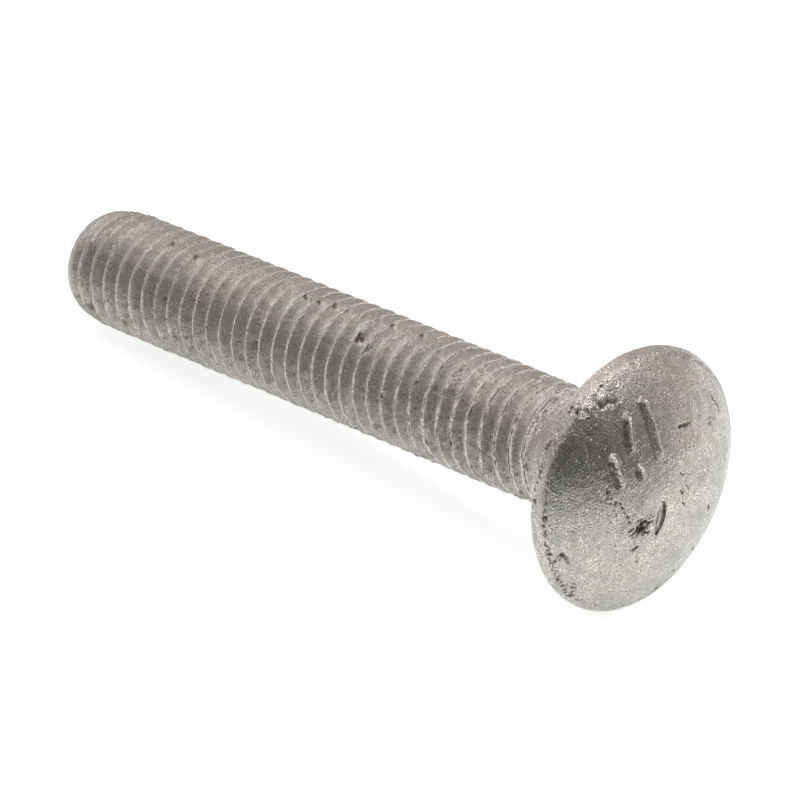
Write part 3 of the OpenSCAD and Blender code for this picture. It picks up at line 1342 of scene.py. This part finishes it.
@dataclass
class SquareNeck(BoltPart):
    """Square neck: four flats with rounded edges, bevelled down to the round shank.

    Attributes:
        width: distance across the flats.
        edge_radius: radius of the long edges.
        turn: direction of the first flat, in degrees.
        length: height of the end of the bevel over the bearing face.
        bevel: length of the bevel on the long edges.
        shank_radius: radius of the round shank.
        sink: how far the cone of the bevel sinks into the shank.
        bevel_soft: width over which the bevel's edge is rounded.
        fillet: flare of the neck where it leaves the head.
        foot: height at which the skin begins, inside the head.
        top: height at which it ends, inside the shank.
        rings_of: number of rings below the bearing face, and of rings over it.
        seam_at: height of the forging seam.
        seam_turn: direction of the corner that the seam crosses, in degrees.
        columns: points round the neck.
    """

    name: str = "square_neck"
    coat: ZincCoat = ZincCoat("neck_coat")
    width: float = 9.6
    edge_radius: float = 0.8
    turn: float = 38.7
    length: float = 5.2
    bevel: float = 1.1
    shank_radius: float = 4.55
    sink: float = 0.35
    bevel_soft: float = 0.12
    fillet: float = 0.35
    foot: float = -0.9
    top: float = 6.0
    rings_of: tuple[int, int] = (8, 103)
    seam_at: float = 3.4
    seam_turn: float = 128.7
    columns: int = 420

    def square_radius(self, angle: Array) -> Array:
        """Radius of a square with round corners.

        Formula: within a quarter, the flat at half width w holds where its ray meets it inside the
        corner's start c. Otherwise the ray meets the corner circle of radius e round (c, c), at
        the larger root of r^2 - 2 r c (cos + sin) + 2 c^2 - e^2.

        Args:
            angle: directions in radians.

        Returns:
            Radii in millimetres.
        """
        eighth = math.pi / 4
        quarter = np.abs((angle - math.radians(self.turn) + eighth) % (2 * eighth) - eighth)
        half, corner = 0.5 * self.width, 0.5 * self.width - self.edge_radius
        b = corner * (np.cos(quarter) + np.sin(quarter))
        arc = b + np.sqrt(np.maximum(b * b - 2 * corner**2 + self.edge_radius**2, 0.0))
        return np.where(np.tan(quarter) * half < corner, half / np.cos(quarter), arc)

    def rings(self) -> Array:
        """Rings of the neck in the bolt's frame.

        Formula: at each height the radius is the softer smaller of the rounded square and the cone
        of the bevel, with a quarter-circle flare at the head.

        Returns:
            Places, shape (rings, columns, 3).
        """
        turn = round_turn(self.columns)
        below, over = self.rings_of
        z = np.concatenate([np.linspace(self.foot, 0.0, below), steps(over, self.top)])[:, None]
        square = self.square_radius(turn)
        reach = (0.5 * self.width - self.edge_radius) * math.sqrt(2) + self.edge_radius
        slope = self.bevel / (reach - self.shank_radius)
        cone = self.shank_radius + np.maximum((self.length - z) / slope, -self.sink)
        flare = np.clip(1.0 - z / self.fillet, 0.0, 1.0)
        radius = square - soft_plus(square - cone, self.bevel_soft)
        return around(radius + self.fillet * (1.0 - np.sqrt(1.0 - flare**2)), turn, z)

    def skin(self) -> Skin:
        """The neck's surface with its wear.

        Formula: the height is noise less pits, and less a bell curve along the forging seam, which
        wanders and is broken by noise. The corners are rubbed, and rust lies by the head.

        Returns:
            The closed skin, with the layers for its coat.
        """
        skin = ring_stack(self.rings())
        p, z = skin.points, skin.points[:, 2]
        corner = smooth_step(5.05, 5.6, np.hypot(p[:, 0], p[:, 1]))
        pits = pit_field(p, 0.7, 0.40, 0.26, 70)
        rough = fractal_noise(p, 0.45, 75, 2)
        seam = np.exp(-(((z - self.seam_at - 0.25 * fractal_noise(p, 2.0, 77, 2)) / 0.11) ** 2))
        beside_corner = np.abs(angle_gap(turns_of(p), self.seam_turn))
        seam = seam * smooth_step(-0.35, 0.3, rough) * smooth_step(60.0, 20.0, beside_corner)
        wear = Wear(p)
        wear.height += 0.04 * fractal_noise(p, 1.8, 21, 2) + 0.015 * rough
        wear.height -= 0.08 * pits + 0.05 * seam
        rust = 0.4 * smooth_step(0.75, 0.1, z) * smooth_step(0.1, 0.5, rough)
        wear.soil(np.maximum(0.8 * pits, 0.7 * seam), rust, 0.5 * corner)
        wear.put_on(skin)
        return skin


# -------------------- shank --------------------


@dataclass(frozen=True)
class Dent:
    """A bruise on the thread.

    Attributes:
        at: its middle in the bolt's frame, in millimetres.
        reach: half its length.
        depth: how deep it is.
        soil: how much dirt it holds.
        rust: how rusty it is.
    """

    at: Place
    reach: float
    depth: float
    soil: float
    rust: float

    def share(self, points: Array, ragged: Array) -> Array:
        """How strongly the dent holds: a bell of the distance over its ragged reach."""
        far = np.linalg.norm(points - np.array(self.at), axis=1)
        return bell(far / (self.reach * (1.0 + 0.45 * ragged)))


def shank_dents() -> tuple[Dent, ...]:
    """The shank's own bruises: a rusty hole, mashed crests and nicks.

    Returns:
        All the dents.
    """
    hole = [
        Dent((-3.88, 2.48, 27.63), 0.50, 0.26, 0.48, 1.0),
        Dent((-3.67, 2.12, 27.42), 0.42, 0.24, 1.00, 0.2),
        Dent((-3.62, 1.80, 28.35), 0.30, 0.16, 0.90, 0.4),
        Dent((-3.05, 2.46, 28.48), 0.34, 0.12, 0.45, 0.3),
    ]
    mashed = [
        (-3.56, 2.98, 26.03), (-2.89, 3.77, 19.64), (-3.99, 2.29, 13.42), (-2.97, 3.54, 16.52),
    ]
    nicks = [
        (-1.23, 4.61, 22.61), (-4.32, 1.79, 16.45), (-4.39, 1.59, 15.15), (-2.88, 3.43, 17.66),
        (1.79, 4.33, 54.24), (1.17, 3.70, 52.00), (-1.37, 3.75, 49.15), (1.41, 4.47, 43.16),
        (-4.61, 1.02, 51.44), (-4.36, 1.17, 48.19), (-0.86, 3.90, 37.98), (-0.20, 4.63, 6.66),
        (-4.43, 1.40, 7.30), (-4.66, -0.41, 10.41), (-4.31, 2.01, 11.90), (4.52, -0.80, 41.00),
    ]
    hole += [Dent(at, 0.50, 0.16, 0.55, 0.4) for at in mashed]
    return tuple(hole + [Dent(at, 0.36, 0.13, 0.60, 0.3) for at in nicks])


@dataclass(frozen=True)
class Scrape:
    """A straight scrape along the shank that nicked each crest it crossed.

    Attributes:
        start: one end in the bolt's frame, in millimetres.
        end: the other end.
        width: full width in millimetres.
        depth: how deep it cut into the crests.
    """

    start: Place = (-4.62, 0.95, 38.5)
    end: Place = (-4.76, -0.15, 21.5)
    width: float = 0.80
    depth: float = 0.13

    def share(self, points: Array) -> Array:
        """How strongly the scrape holds: a bell of the distance over half the width."""
        return bell(beside(points, self.start, self.end)[1] / (0.5 * self.width))


@dataclass
class RolledThread(BoltPart):
    """Threaded shank: a right-hand helix with its run-out by the neck and its rounded point.

    Attributes:
        radius: outer radius of the thread.
        pitch: distance from crest to crest.
        depth: depth of the thread at the point.
        shallow: how much less deep the thread is by the neck.
        shank_radius: radius of the plain shank.
        start: height at which the first groove begins.
        foot: height at which the skin begins, inside the neck.
        run_out: length over which the grooves deepen and the crests rise.
        length: height of the end of the point.
        point_radius: radius of the flat end.
        point_length: length over which the point rounds off.
        point_proud: how far the rounding stands over the crests where it begins.
        end_soft: length over which the last crests give way to the flat end.
        end_rings: number of rings on the flat end.
        end_hole: share of the flat end's radius at its last ring.
        floor: greatest half width of a groove's floor.
        samples: distances from the middle of a groove at which its flanks are sampled.
        wander_radius: radius on which the noise that moves the crests is read.
        columns: points round one turn.
        dents: bruises on the crests.
        scrape: the scrape along the shank.
    """

    name: str = "threaded_shank"
    # Painted shade: a darker copy of the head's zinc coat, its light and dark colours lowered.
    coat: ZincCoat = ZincCoat(
        "thread_coat", light=(0.482, 0.459, 0.428, 1.0), dark=(0.425, 0.405, 0.378, 1.0),
        rubbed=(0.95, 0.90, 0.88, 1.0), speck=9800.0, speckle=2.3, relief=0.8, pin_share=0.06,
        roughness=0.47, shine=0.20, chatter=12.0, drawn=(8800.0, 4600.0, 4600.0),
    )
    radius: float = 4.7625
    pitch: float = 1.5875
    depth: float = 0.93
    shallow: float = 0.16
    shank_radius: float = 4.55
    start: float = 5.55
    foot: float = 3.95
    run_out: float = 3.2
    length: float = 61.6
    point_radius: float = 3.7
    point_length: float = 4.0
    point_proud: float = 0.02
    end_soft: float = 0.05
    end_rings: int = 12
    end_hole: float = 0.15
    floor: float = 0.21
    samples: tuple[float, ...] = (0.12, 0.26, 0.44, 0.585, 0.665, 0.715, 0.745, 0.770)
    wander_radius: float = 4.7
    columns: int = 144
    dents: tuple[Dent, ...] = field(default_factory=shank_dents)
    scrape: Scrape = Scrape()

    def offsets(self) -> Array:
        """Distances of the samples of one turn from the middle of its groove, lowest first."""
        side = np.array(self.samples)
        return np.concatenate([-side[::-1], [0.0], side, [0.5 * self.pitch]])

    def turns(self) -> int:
        """Number of turns of the grid, with the last one past the end of the point."""
        return math.ceil((self.length - self.start) / self.pitch + 0.6)

    def groove(self, offset: Values, depth: Array, crest: Array) -> Array:
        """Depth of the thread under its crest.

        Formula: a groove with flanks at 30 degrees from square to the axis and a narrow flat
        floor, its corners rounded, wider crests more: soft(depth - soft(|offset| - floor) / tan).

        Args:
            offset: distance from the middle of the groove.
            depth: full depth of the groove there.
            crest: half the width of the crest there.

        Returns:
            Depths in millimetres.
        """
        floor = np.minimum(0.5 * self.pitch - crest - depth * FLANK, self.floor)
        wall = soft_plus(np.abs(offset) - floor, 0.10) / FLANK
        return soft_plus(depth - wall, 0.02 + 0.25 * crest)

    def grid(self) -> tuple[Array, Array]:
        """Heights of the shank's points, and their distances from the middle of their groove.

        Formula: a point of turn k, sample s and column i stands at height start + pitch (k + i /
        columns) + offset s, moved by up to 0.09 mm of smooth noise and eased under the length.
        One level ring stands before the first turn, and the rings of the flat end after the last.

        Returns:
            Heights and distances, each of shape (rows, columns).
        """
        n, off = self.columns, self.offsets()[:, None]
        way = np.arange(n) / n
        z = self.start + self.pitch * (np.arange(self.turns())[:, None, None] + way) + off
        offset = np.broadcast_to(off, z.shape).reshape(-1, n)
        z = z.reshape(-1, n)
        spot = around(self.wander_radius, way * TURN, z).reshape(-1, 3)
        wander = 0.045 * value_noise(spot, 2.6, 51) + 0.022 * value_noise(spot, 0.8, 53)
        wander = wander + 0.022 * value_noise(spot * np.array([1.0, 1.0, 0.3]), 0.42, 55)
        left = (self.length - z - wander.reshape(z.shape)) / self.end_soft
        z = self.length - self.end_soft * np.logaddexp(0.0, left)
        ends = [np.full((1, n), self.foot), np.full((self.end_rings, n), self.length)]
        level = ((1, self.end_rings), (0, 0))
        offset = np.pad(offset, level, constant_values=0.5 * self.pitch)
        return np.concatenate([ends[0], z, ends[1]]), offset

    def radii(self, z: Array, offset: Array) -> tuple[Array, Array]:
        """Radius of the shank, and depth of the groove, at each point of the grid.

        Formula: the radius is the crest's less the groove's, and the rounded point trims it on an
        ellipse. The thread is shallower by the neck, and its crests are broad there and again
        towards the point.

        Args:
            z: heights.
            offset: distances from the middle of the groove.

        Returns:
            Radii and depths, each of the shape of z.
        """
        grown = np.clip((z - self.start) / self.run_out, 0.0, 1.0)
        grown = grown * smooth_step(self.length - 0.1, self.length - 2.4, z)
        rise = 1.0 - np.exp(-np.maximum(z - self.start, 0.0) / self.run_out)
        crest = self.shank_radius + (self.radius - self.shank_radius) * rise
        deep = (self.depth - self.shallow * smooth_step(44.0, 8.0, z)) * grown
        wide = 0.045 + 0.105 * smooth_step(32.0, 13.0, z) + 0.11 * smooth_step(42.0, 55.0, z)
        cut = self.groove(offset, deep, wide) - self.groove(0.5 * self.pitch, deep, wide)
        part = np.clip((self.length - z) / self.point_length, 0.0, 1.0)
        over = self.radius + self.point_proud - self.point_radius
        trim = self.point_radius + over * np.sqrt(1.0 - (1.0 - part) ** 2)
        radius = np.minimum(crest - cut, trim)
        flat = self.point_radius * np.linspace(1.0, self.end_hole, self.end_rings)
        radius[-self.end_rings :] = flat[:, None]
        return radius, cut

    def stitched(self, rings: Array) -> Skin:
        """Closes the shank's rings, with the last column joined one turn up in the first.

        Formula: along the thread the two columns join one turn apart, and on the flat end they
        join level. A fan closes the step of one pitch at either end.

        Args:
            rings: places, shape (rows, columns, 3).

        Returns:
            The closed skin.
        """
        step = len(self.offsets())
        top = 1 + step * self.turns()
        ids = np.arange(rings[..., 0].size).reshape(rings.shape[:2])
        a, b = ids[:, -1], ids[:, 0]
        quads = [strip(ids[:, :-1], ids[:, 1:])]
        quads += [strip(a[1 : top - step], b[1 + step : top]), strip(a[top:], b[top:])]
        low = fan(a[0], np.append(b[: step + 2], a[1]))
        high = fan(b[top], np.append(a[top - step - 1 : top + 1][::-1], b[top - 1]))
        return closed(rings, np.concatenate(quads), [low, high])

    def skin(self) -> Skin:
        """The shank's surface with its wear.

        Returns:
            The closed skin, with the layers for its coat.
        """
        z, offset = self.grid()
        radius, cut = self.radii(z, offset)
        skin = self.stitched(around(radius, round_turn(self.columns), z))
        offset, cut = (np.append(values.ravel(), [0.0, 0.0]) for values in (offset, cut))
        worn = ShankWear(skin.points, offset, cut, self)
        worn.crests()
        worn.underside()
        worn.scraped(self.scrape)
        for dent in self.dents:
            worn.dented(dent)
        worn.rubbed()
        worn.height *= smooth_step(self.length - 0.02, self.length - 0.3, skin.points[:, 2])
        worn.put_on(skin)
        return skin


@dataclass
class ShankWear(Wear):
    """Wears the shank: seams, pits, a scrape and dents on its crests, dirt and painted shade
    below, rubbed metal and a painted highlight on the crests.

    Attributes:
        offset: distance of each point from the middle of its groove.
        cut: depth of the groove at each point.
        thread: the thread that is worn.
    """

    offset: Array
    cut: Array
    thread: RolledThread

    def __post_init__(self) -> None:
        """Works out the noise and the places that the methods share, and the unevenness.

        Formula: the crest is where the groove is shallower than about 0.05 mm. Near is 1 by the
        neck and 0 past a ragged height of about 46 mm.
        """
        super().__post_init__()
        p, start = self.points, self.thread.start
        self.z, self.turn = p[:, 2], turns_of(p)
        self.grown = smooth_step(start - 0.3, start + 1.2, self.z)
        self.rough, self.broad = fractal_noise(p, 0.5, 57, 2), fractal_noise(p, 3.2, 58, 2)
        self.ragged = value_noise(p, 0.26, 36)
        self.crest = smooth_step(0.055, 0.012, self.cut) * self.grown
        self.streak = self.lines(math.degrees(0.75 / 4.76), 0.11, 37)
        self.near = smooth_step(46.0, 12.0, self.z + 6.0 * self.broad)
        self.height += 0.007 * fractal_noise(p, 1.4, 31, 3)
        self.height += 0.035 * self.crest * value_noise(p, 0.45, 33)
        self.height += 0.055 * self.crest * (0.4 + 0.8 * self.near) * value_noise(p, 0.22, 35)

    def lines(self, length: float, width: float, seed: int) -> Array:
        """Noise drawn out round the shank.

        Args:
            length: length of its lines round the shank, in degrees.
            width: their width along the axis, in millimetres.
            seed: picks the lattice.

        Returns:
            Values from -1 to 1, shape (n,).
        """
        flat = np.stack([self.turn / length, self.z / width, 0.0 * self.z], axis=1)
        return value_noise(flat, 1.0, seed)

    def crests(self) -> None:
        """Seams, pits, chips, nicks and dirty streaks on the crests.

        Formula: the seam is a furrow along the middle of the crest, where the two rolled lips
        meet. It is a bell curve, wide and strong by the neck and faint at the point, and noise
        breaks it.
        """
        p, crest, near, broad = self.points, self.crest, self.near, self.broad
        wide = 0.03 + 0.05 * smooth_step(34.0, 15.0, self.z)
        middle = np.exp(-(((0.5 * self.thread.pitch - np.abs(self.offset)) / wide) ** 2))
        broken = smooth_step(-0.15, 0.35, self.rough + 0.5 * broad + 0.3 * self.streak)
        self.furrow = middle * self.grown * (0.12 + 0.88 * near) * broken
        pits = pit_field(p, 0.62, 0.34, 0.26, 90) * smooth_step(-0.1, 0.5, broad)
        chips = pit_field(p, 0.50, 0.42, 0.24, 94) * crest * (0.15 + 0.85 * near)
        nicks = pit_field(p, 1.9, 0.16, 0.55, 97) * (0.05 + 0.95 * crest)
        streaks = crest * near * smooth_step(0.15, 0.55, -self.streak)
        self.height -= 0.065 * self.furrow + 0.05 * pits + 0.06 * chips + 0.14 * nicks
        dirt = [0.66 * self.furrow, 0.28 * pits, 0.85 * chips, 0.5 * nicks, 0.70 * streaks]
        self.soil(dirt=np.maximum.reduce(dirt))

    def underside(self) -> None:
        """Crumbs torn from the low side at 5 to 110 degrees, and painted shade in the grooves at
        48 to 120 degrees.
        """
        turn, crest, rough = self.turn, self.crest, self.rough
        under = band(turn, 5.0, 35.0, 75.0, 110.0) * self.grown
        crumbs = pit_field(self.points, 0.46, 0.40, 0.20, 99) * under * (0.4 + 0.6 * crest)
        # Painted shade: the grooves on the low side are darkened, put in the dirt layer.
        groove_shade = band(turn, 48.0, 66.0, 100.0, 120.0) * self.grown
        groove_shade = groove_shade * (1.0 - 0.85 * crest) * (0.33 + 0.04 * self.broad + 0.20 * rough)
        self.height += 0.012 * under * rough - 0.06 * crumbs
        self.soil(dirt=np.maximum(0.65 * crumbs, groove_shade))

    def scraped(self, scrape: Scrape) -> None:
        """Cuts the scrape into the crests that it crossed, dirty and rusty.

        Args:
            scrape: the scrape.
        """
        share = smooth_step(0.0, 0.6, scrape.share(self.points))
        share = share * smooth_step(0.62, 0.20, self.cut) * smooth_step(-0.6, 0.1, self.rough)
        self.height -= scrape.depth * share
        self.soil(0.52 * share, 0.75 * share)

    def dented(self, dent: Dent) -> None:
        """Sinks one dent, rough inside, with its dirt and rust.

        Args:
            dent: the dent.
        """
        share = dent.share(self.points, self.ragged)
        lumps = 0.25 * self.rough * smooth_step(0.0, 0.3, share)
        self.height += dent.depth * (lumps - share)
        dirt = dent.soil * smooth_step(0.05, 0.5, share + 0.4 * self.rough * share)
        self.soil(dirt, dent.rust * smooth_step(0.05, 0.4, share))

    def rubbed(self) -> None:
        """Rubbed crests with a painted highlight on their top side, brown ones towards the point,
        and a bright collar by the neck.

        Formula: the crests are lightened most round 198 degrees, the top, as a painted highlight,
        and are rubbed most by the neck, and hardly past 42 mm. The collar is the run-out's plain
        band, drawn out in
        lines round the shank: rubbed metal, kept to the side from 112 degrees on, partly a painted
        highlight.
        """
        z, turn, crest, rough, end = self.z, self.turn, self.crest, self.rough, self.thread.length
        # Painted highlight: crests lighter round 198 degrees, the top of the shank.
        high = smooth_step(44.0, 16.0, np.abs(angle_gap(turn, 198.0)))
        low = smooth_step(125.0, 100.0, turn)
        lit = 0.46 + 0.12 * self.near + 0.32 * high + 0.10 * low
        lit = lit + 0.40 * rough + 0.15 * self.broad + 0.5 * self.near * self.streak
        lit = crest * lit * (1.0 - 0.75 * smooth_step(42.0, 52.0, z))
        lit = lit * smooth_step(end - 1.0, end - 4.0, z)
        brown = band(z, 40.0, 50.0, end - 1.6, end - 0.4)
        brown = 0.45 * crest * brown * smooth_step(-0.5, 0.4, rough)
        drawn = self.lines(14.0, 0.16, 38)
        # Partly painted highlight: the bright rubbed collar is kept to the upper side from 112
        # degrees on.
        collar = band(z, 5.8, 6.4, 7.4, 8.2) * smooth_step(112.0, 135.0, turn)
        collar = collar * smooth_step(0.45, 0.20, self.cut) * (0.62 + 0.50 * drawn)
        self.height -= collar * (0.035 * smooth_step(0.2, 0.6, -drawn) + 0.012 * drawn)
        self.soil(rust=brown, edge=np.maximum(lit, collar) - 0.8 * self.furrow)


# -------------------- stage --------------------


@dataclass(frozen=True)
class Lamp:
    """A square soft lamp that faces the bolt.

    Attributes:
        name: the lamp's name.
        at: its place, in metres.
        size: edge of the lamp, in metres.
        power: its power, in watts.
    """

    name: str
    at: Place
    size: float
    power: float

    def hang(self) -> None:
        """Hangs the lamp at its place, turned to the origin."""
        light = bpy.data.lights.new(self.name, "AREA")
        light.shape, light.size, light.energy = "SQUARE", self.size, self.power
        back = np.array(self.at) / np.linalg.norm(self.at)
        side = np.cross([0.0, 1.0, 0.0], back)
        side = side / np.linalg.norm(side)
        stand(new_object(self.name, light), side, np.cross(back, side), self.at)


def stand(thing: bpy.types.Object, side: Array, up: Array, at: Place) -> None:
    """Stands a lamp or the camera at a place, with its own x to the side and its own y up.

    Args:
        thing: the lamp or the camera.
        side: unit vector of its own x.
        up: unit vector of its own y.
        at: its place, in metres.
    """
    turn = np.eye(4)
    turn[:3, :3] = np.stack([side, up, np.cross(side, up)], axis=1)
    turn[:3, 3] = at
    thing.matrix_world = Matrix(turn.tolist())


@dataclass
class Studio:
    """Pale floor, a room that is light beyond the bolt and dim behind the eye, lamps and camera.

    Attributes:
        floor_size: edge of the floor, in metres.
        floor_near: where the floor ends on the eye's side, in metres.
        floor_tone: colour of the floor.
        floor_glow: colour of the floor's lift.
        floor_lift: how much the floor is lifted for the eye and in reflections.
        dim: light of the room behind the eye.
        dim_tone: its colour.
        bright: light of the room beyond the bolt.
        bright_tone: its colour.
        backdrop: light of the room beyond the bolt as metal shows it.
        dim_side: unit vector to the middle of the dim side.
        lamps: the lamps.
        eye: place of the camera, in metres.
        right: unit vector to the camera's right.
        up: unit vector to the camera's top.
        lens: focal length, in millimetres.
        sensor: width of the camera's sensor, in millimetres.
    """

    floor_size: float = 6.0
    floor_near: float = -0.072
    floor_tone: Colour = (0.80, 0.82, 0.815, 1.0)
    floor_glow: Colour = (0.965, 1.0, 0.985, 1.0)
    floor_lift: float = 0.75
    dim: float = 0.06
    dim_tone: Colour = WHITE
    bright: float = 0.30
    bright_tone: Colour = (1.0, 0.938, 0.925, 1.0)
    backdrop: float = 0.66
    dim_side: Place = (-0.8565, 0.4364, -0.2756)
    lamps: tuple[Lamp, ...] = (
        Lamp("overhead", (-0.15, 0.0, 0.75), 0.8, 1.9),
        Lamp("far", (0.69, -0.13, 0.56), 0.45, 0.7),
        Lamp("side", (-0.40, -0.36, 0.60), 0.10, 0.5),
    )
    eye: Place = (-0.31080, 0.27291, 0.22745)
    right: Place = (-0.663332, -0.748325, 0.0)
    up: Place = (0.354533, -0.314266, 0.880649)
    lens: float = 275.08
    sensor: float = 36.0

    def floor(self) -> None:
        """Lays the floor: a pale flat sheet under the bolt, lifted a little for the eye."""
        mesh = bpy.data.meshes.new("floor")
        near, h = self.floor_near, 0.5 * self.floor_size
        mesh.from_pydata([(near, -h, 0), (h, -h, 0), (h, h, 0), (near, h, 0)], [], [(0, 1, 2, 3)])
        mat = bpy.data.materials.new("pale_floor")
        w = Wiring.of(mat)
        matt = w.feed(w.node("BsdfDiffuse"), Color=self.floor_tone)
        lift = w.math("MULTIPLY", self.seen(w), self.floor_lift)
        glow = w.feed(w.node("Emission"), Color=self.floor_glow, Strength=lift)
        both = w.node("AddShader")
        w.put(both.inputs[0], matt.outputs[0])
        w.put(both.inputs[1], glow.outputs[0])
        w.feed(w.node("OutputMaterial"), Surface=both.outputs[0])
        mesh.materials.append(mat)
        sheet = new_object("floor", mesh)

    def seen(self, w: Wiring) -> bpy.types.NodeSocket:
        """Gives 1 for rays from the eye, off metal and through glass, and 0 for the rest.

        Args:
            w: the wiring that the nodes are added to.

        Returns:
            The value.
        """
        path = w.node("LightPath")
        straight = w.math("MAXIMUM", path.outputs["Is Camera Ray"], path.outputs["Is Glossy Ray"])
        return w.math("MAXIMUM", straight, path.outputs["Is Transmission Ray"])

    def world(self) -> None:
        """Fills the room with light that fades towards the side behind the eye.

        Formula: the light is dim plus far times (top - dim), where far falls from 1 to 0 towards
        the middle of the dim side, and top is the bright light, or the backdrop as metal shows it.
        The eye itself sees white.
        """
        world = bpy.data.worlds.new("room")
        bpy.context.scene.world = world
        w = Wiring.of(world)
        along = w.vector("DOT_PRODUCT", w.node("TexCoord").outputs["Generated"], self.dim_side)
        far = w.ramp(along, 0.70, 0.05, ease="LINEAR")
        shown = w.math("MULTIPLY", self.seen(w), self.backdrop - self.bright)
        top = w.math("ADD", self.bright, shown)
        level = w.math("ADD", self.dim, w.math("MULTIPLY", far, w.math("SUBTRACT", top, self.dim)))
        direct = w.node("LightPath").outputs["Is Camera Ray"]
        hue = w.blend(direct, w.blend(far, self.dim_tone, self.bright_tone), WHITE)
        level = w.math("MAXIMUM", level, direct)
        sky = w.feed(w.node("Background"), Color=hue, Strength=level)
        w.feed(w.node("OutputWorld"), Surface=sky.outputs[0])

    def camera(self) -> None:
        """Sets the camera level with the room, looking a little down at the bolt."""
        data = bpy.data.cameras.new("camera")
        data.sensor_width, data.lens = self.sensor, self.lens
        data.clip_start, data.clip_end = 0.01, 50.0
        camera = new_object("camera", data)
        stand(camera, np.array(self.right), np.array(self.up), self.eye)
        bpy.context.scene.camera = camera

    def build(self) -> None:
        """Builds the floor, the room, the lamps and the camera."""
        self.floor()
        self.world()
        for lamp in self.lamps:
            lamp.hang()
        self.camera()
        bpy.context.scene.view_settings.view_transform = "Standard"


def main() -> None:
    """Builds the bolt and its stage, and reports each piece."""
    logging.basicConfig(level=logging.INFO, format="%(message)s")
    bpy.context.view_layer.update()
    where = BoltFrame.from_record(frame["record"])
    parts = (ForgedHead(), SquareNeck(), RolledThread())
    for part in parts:
        part.build(where)
        LOG.info("%s: %d faces", part.name, len(part.piece.data.polygons))
    effects = CoatEffects.build()
    for part in parts:
        part.dress(effects)
    Studio().build()


if __name__ == "__main__":
    main()
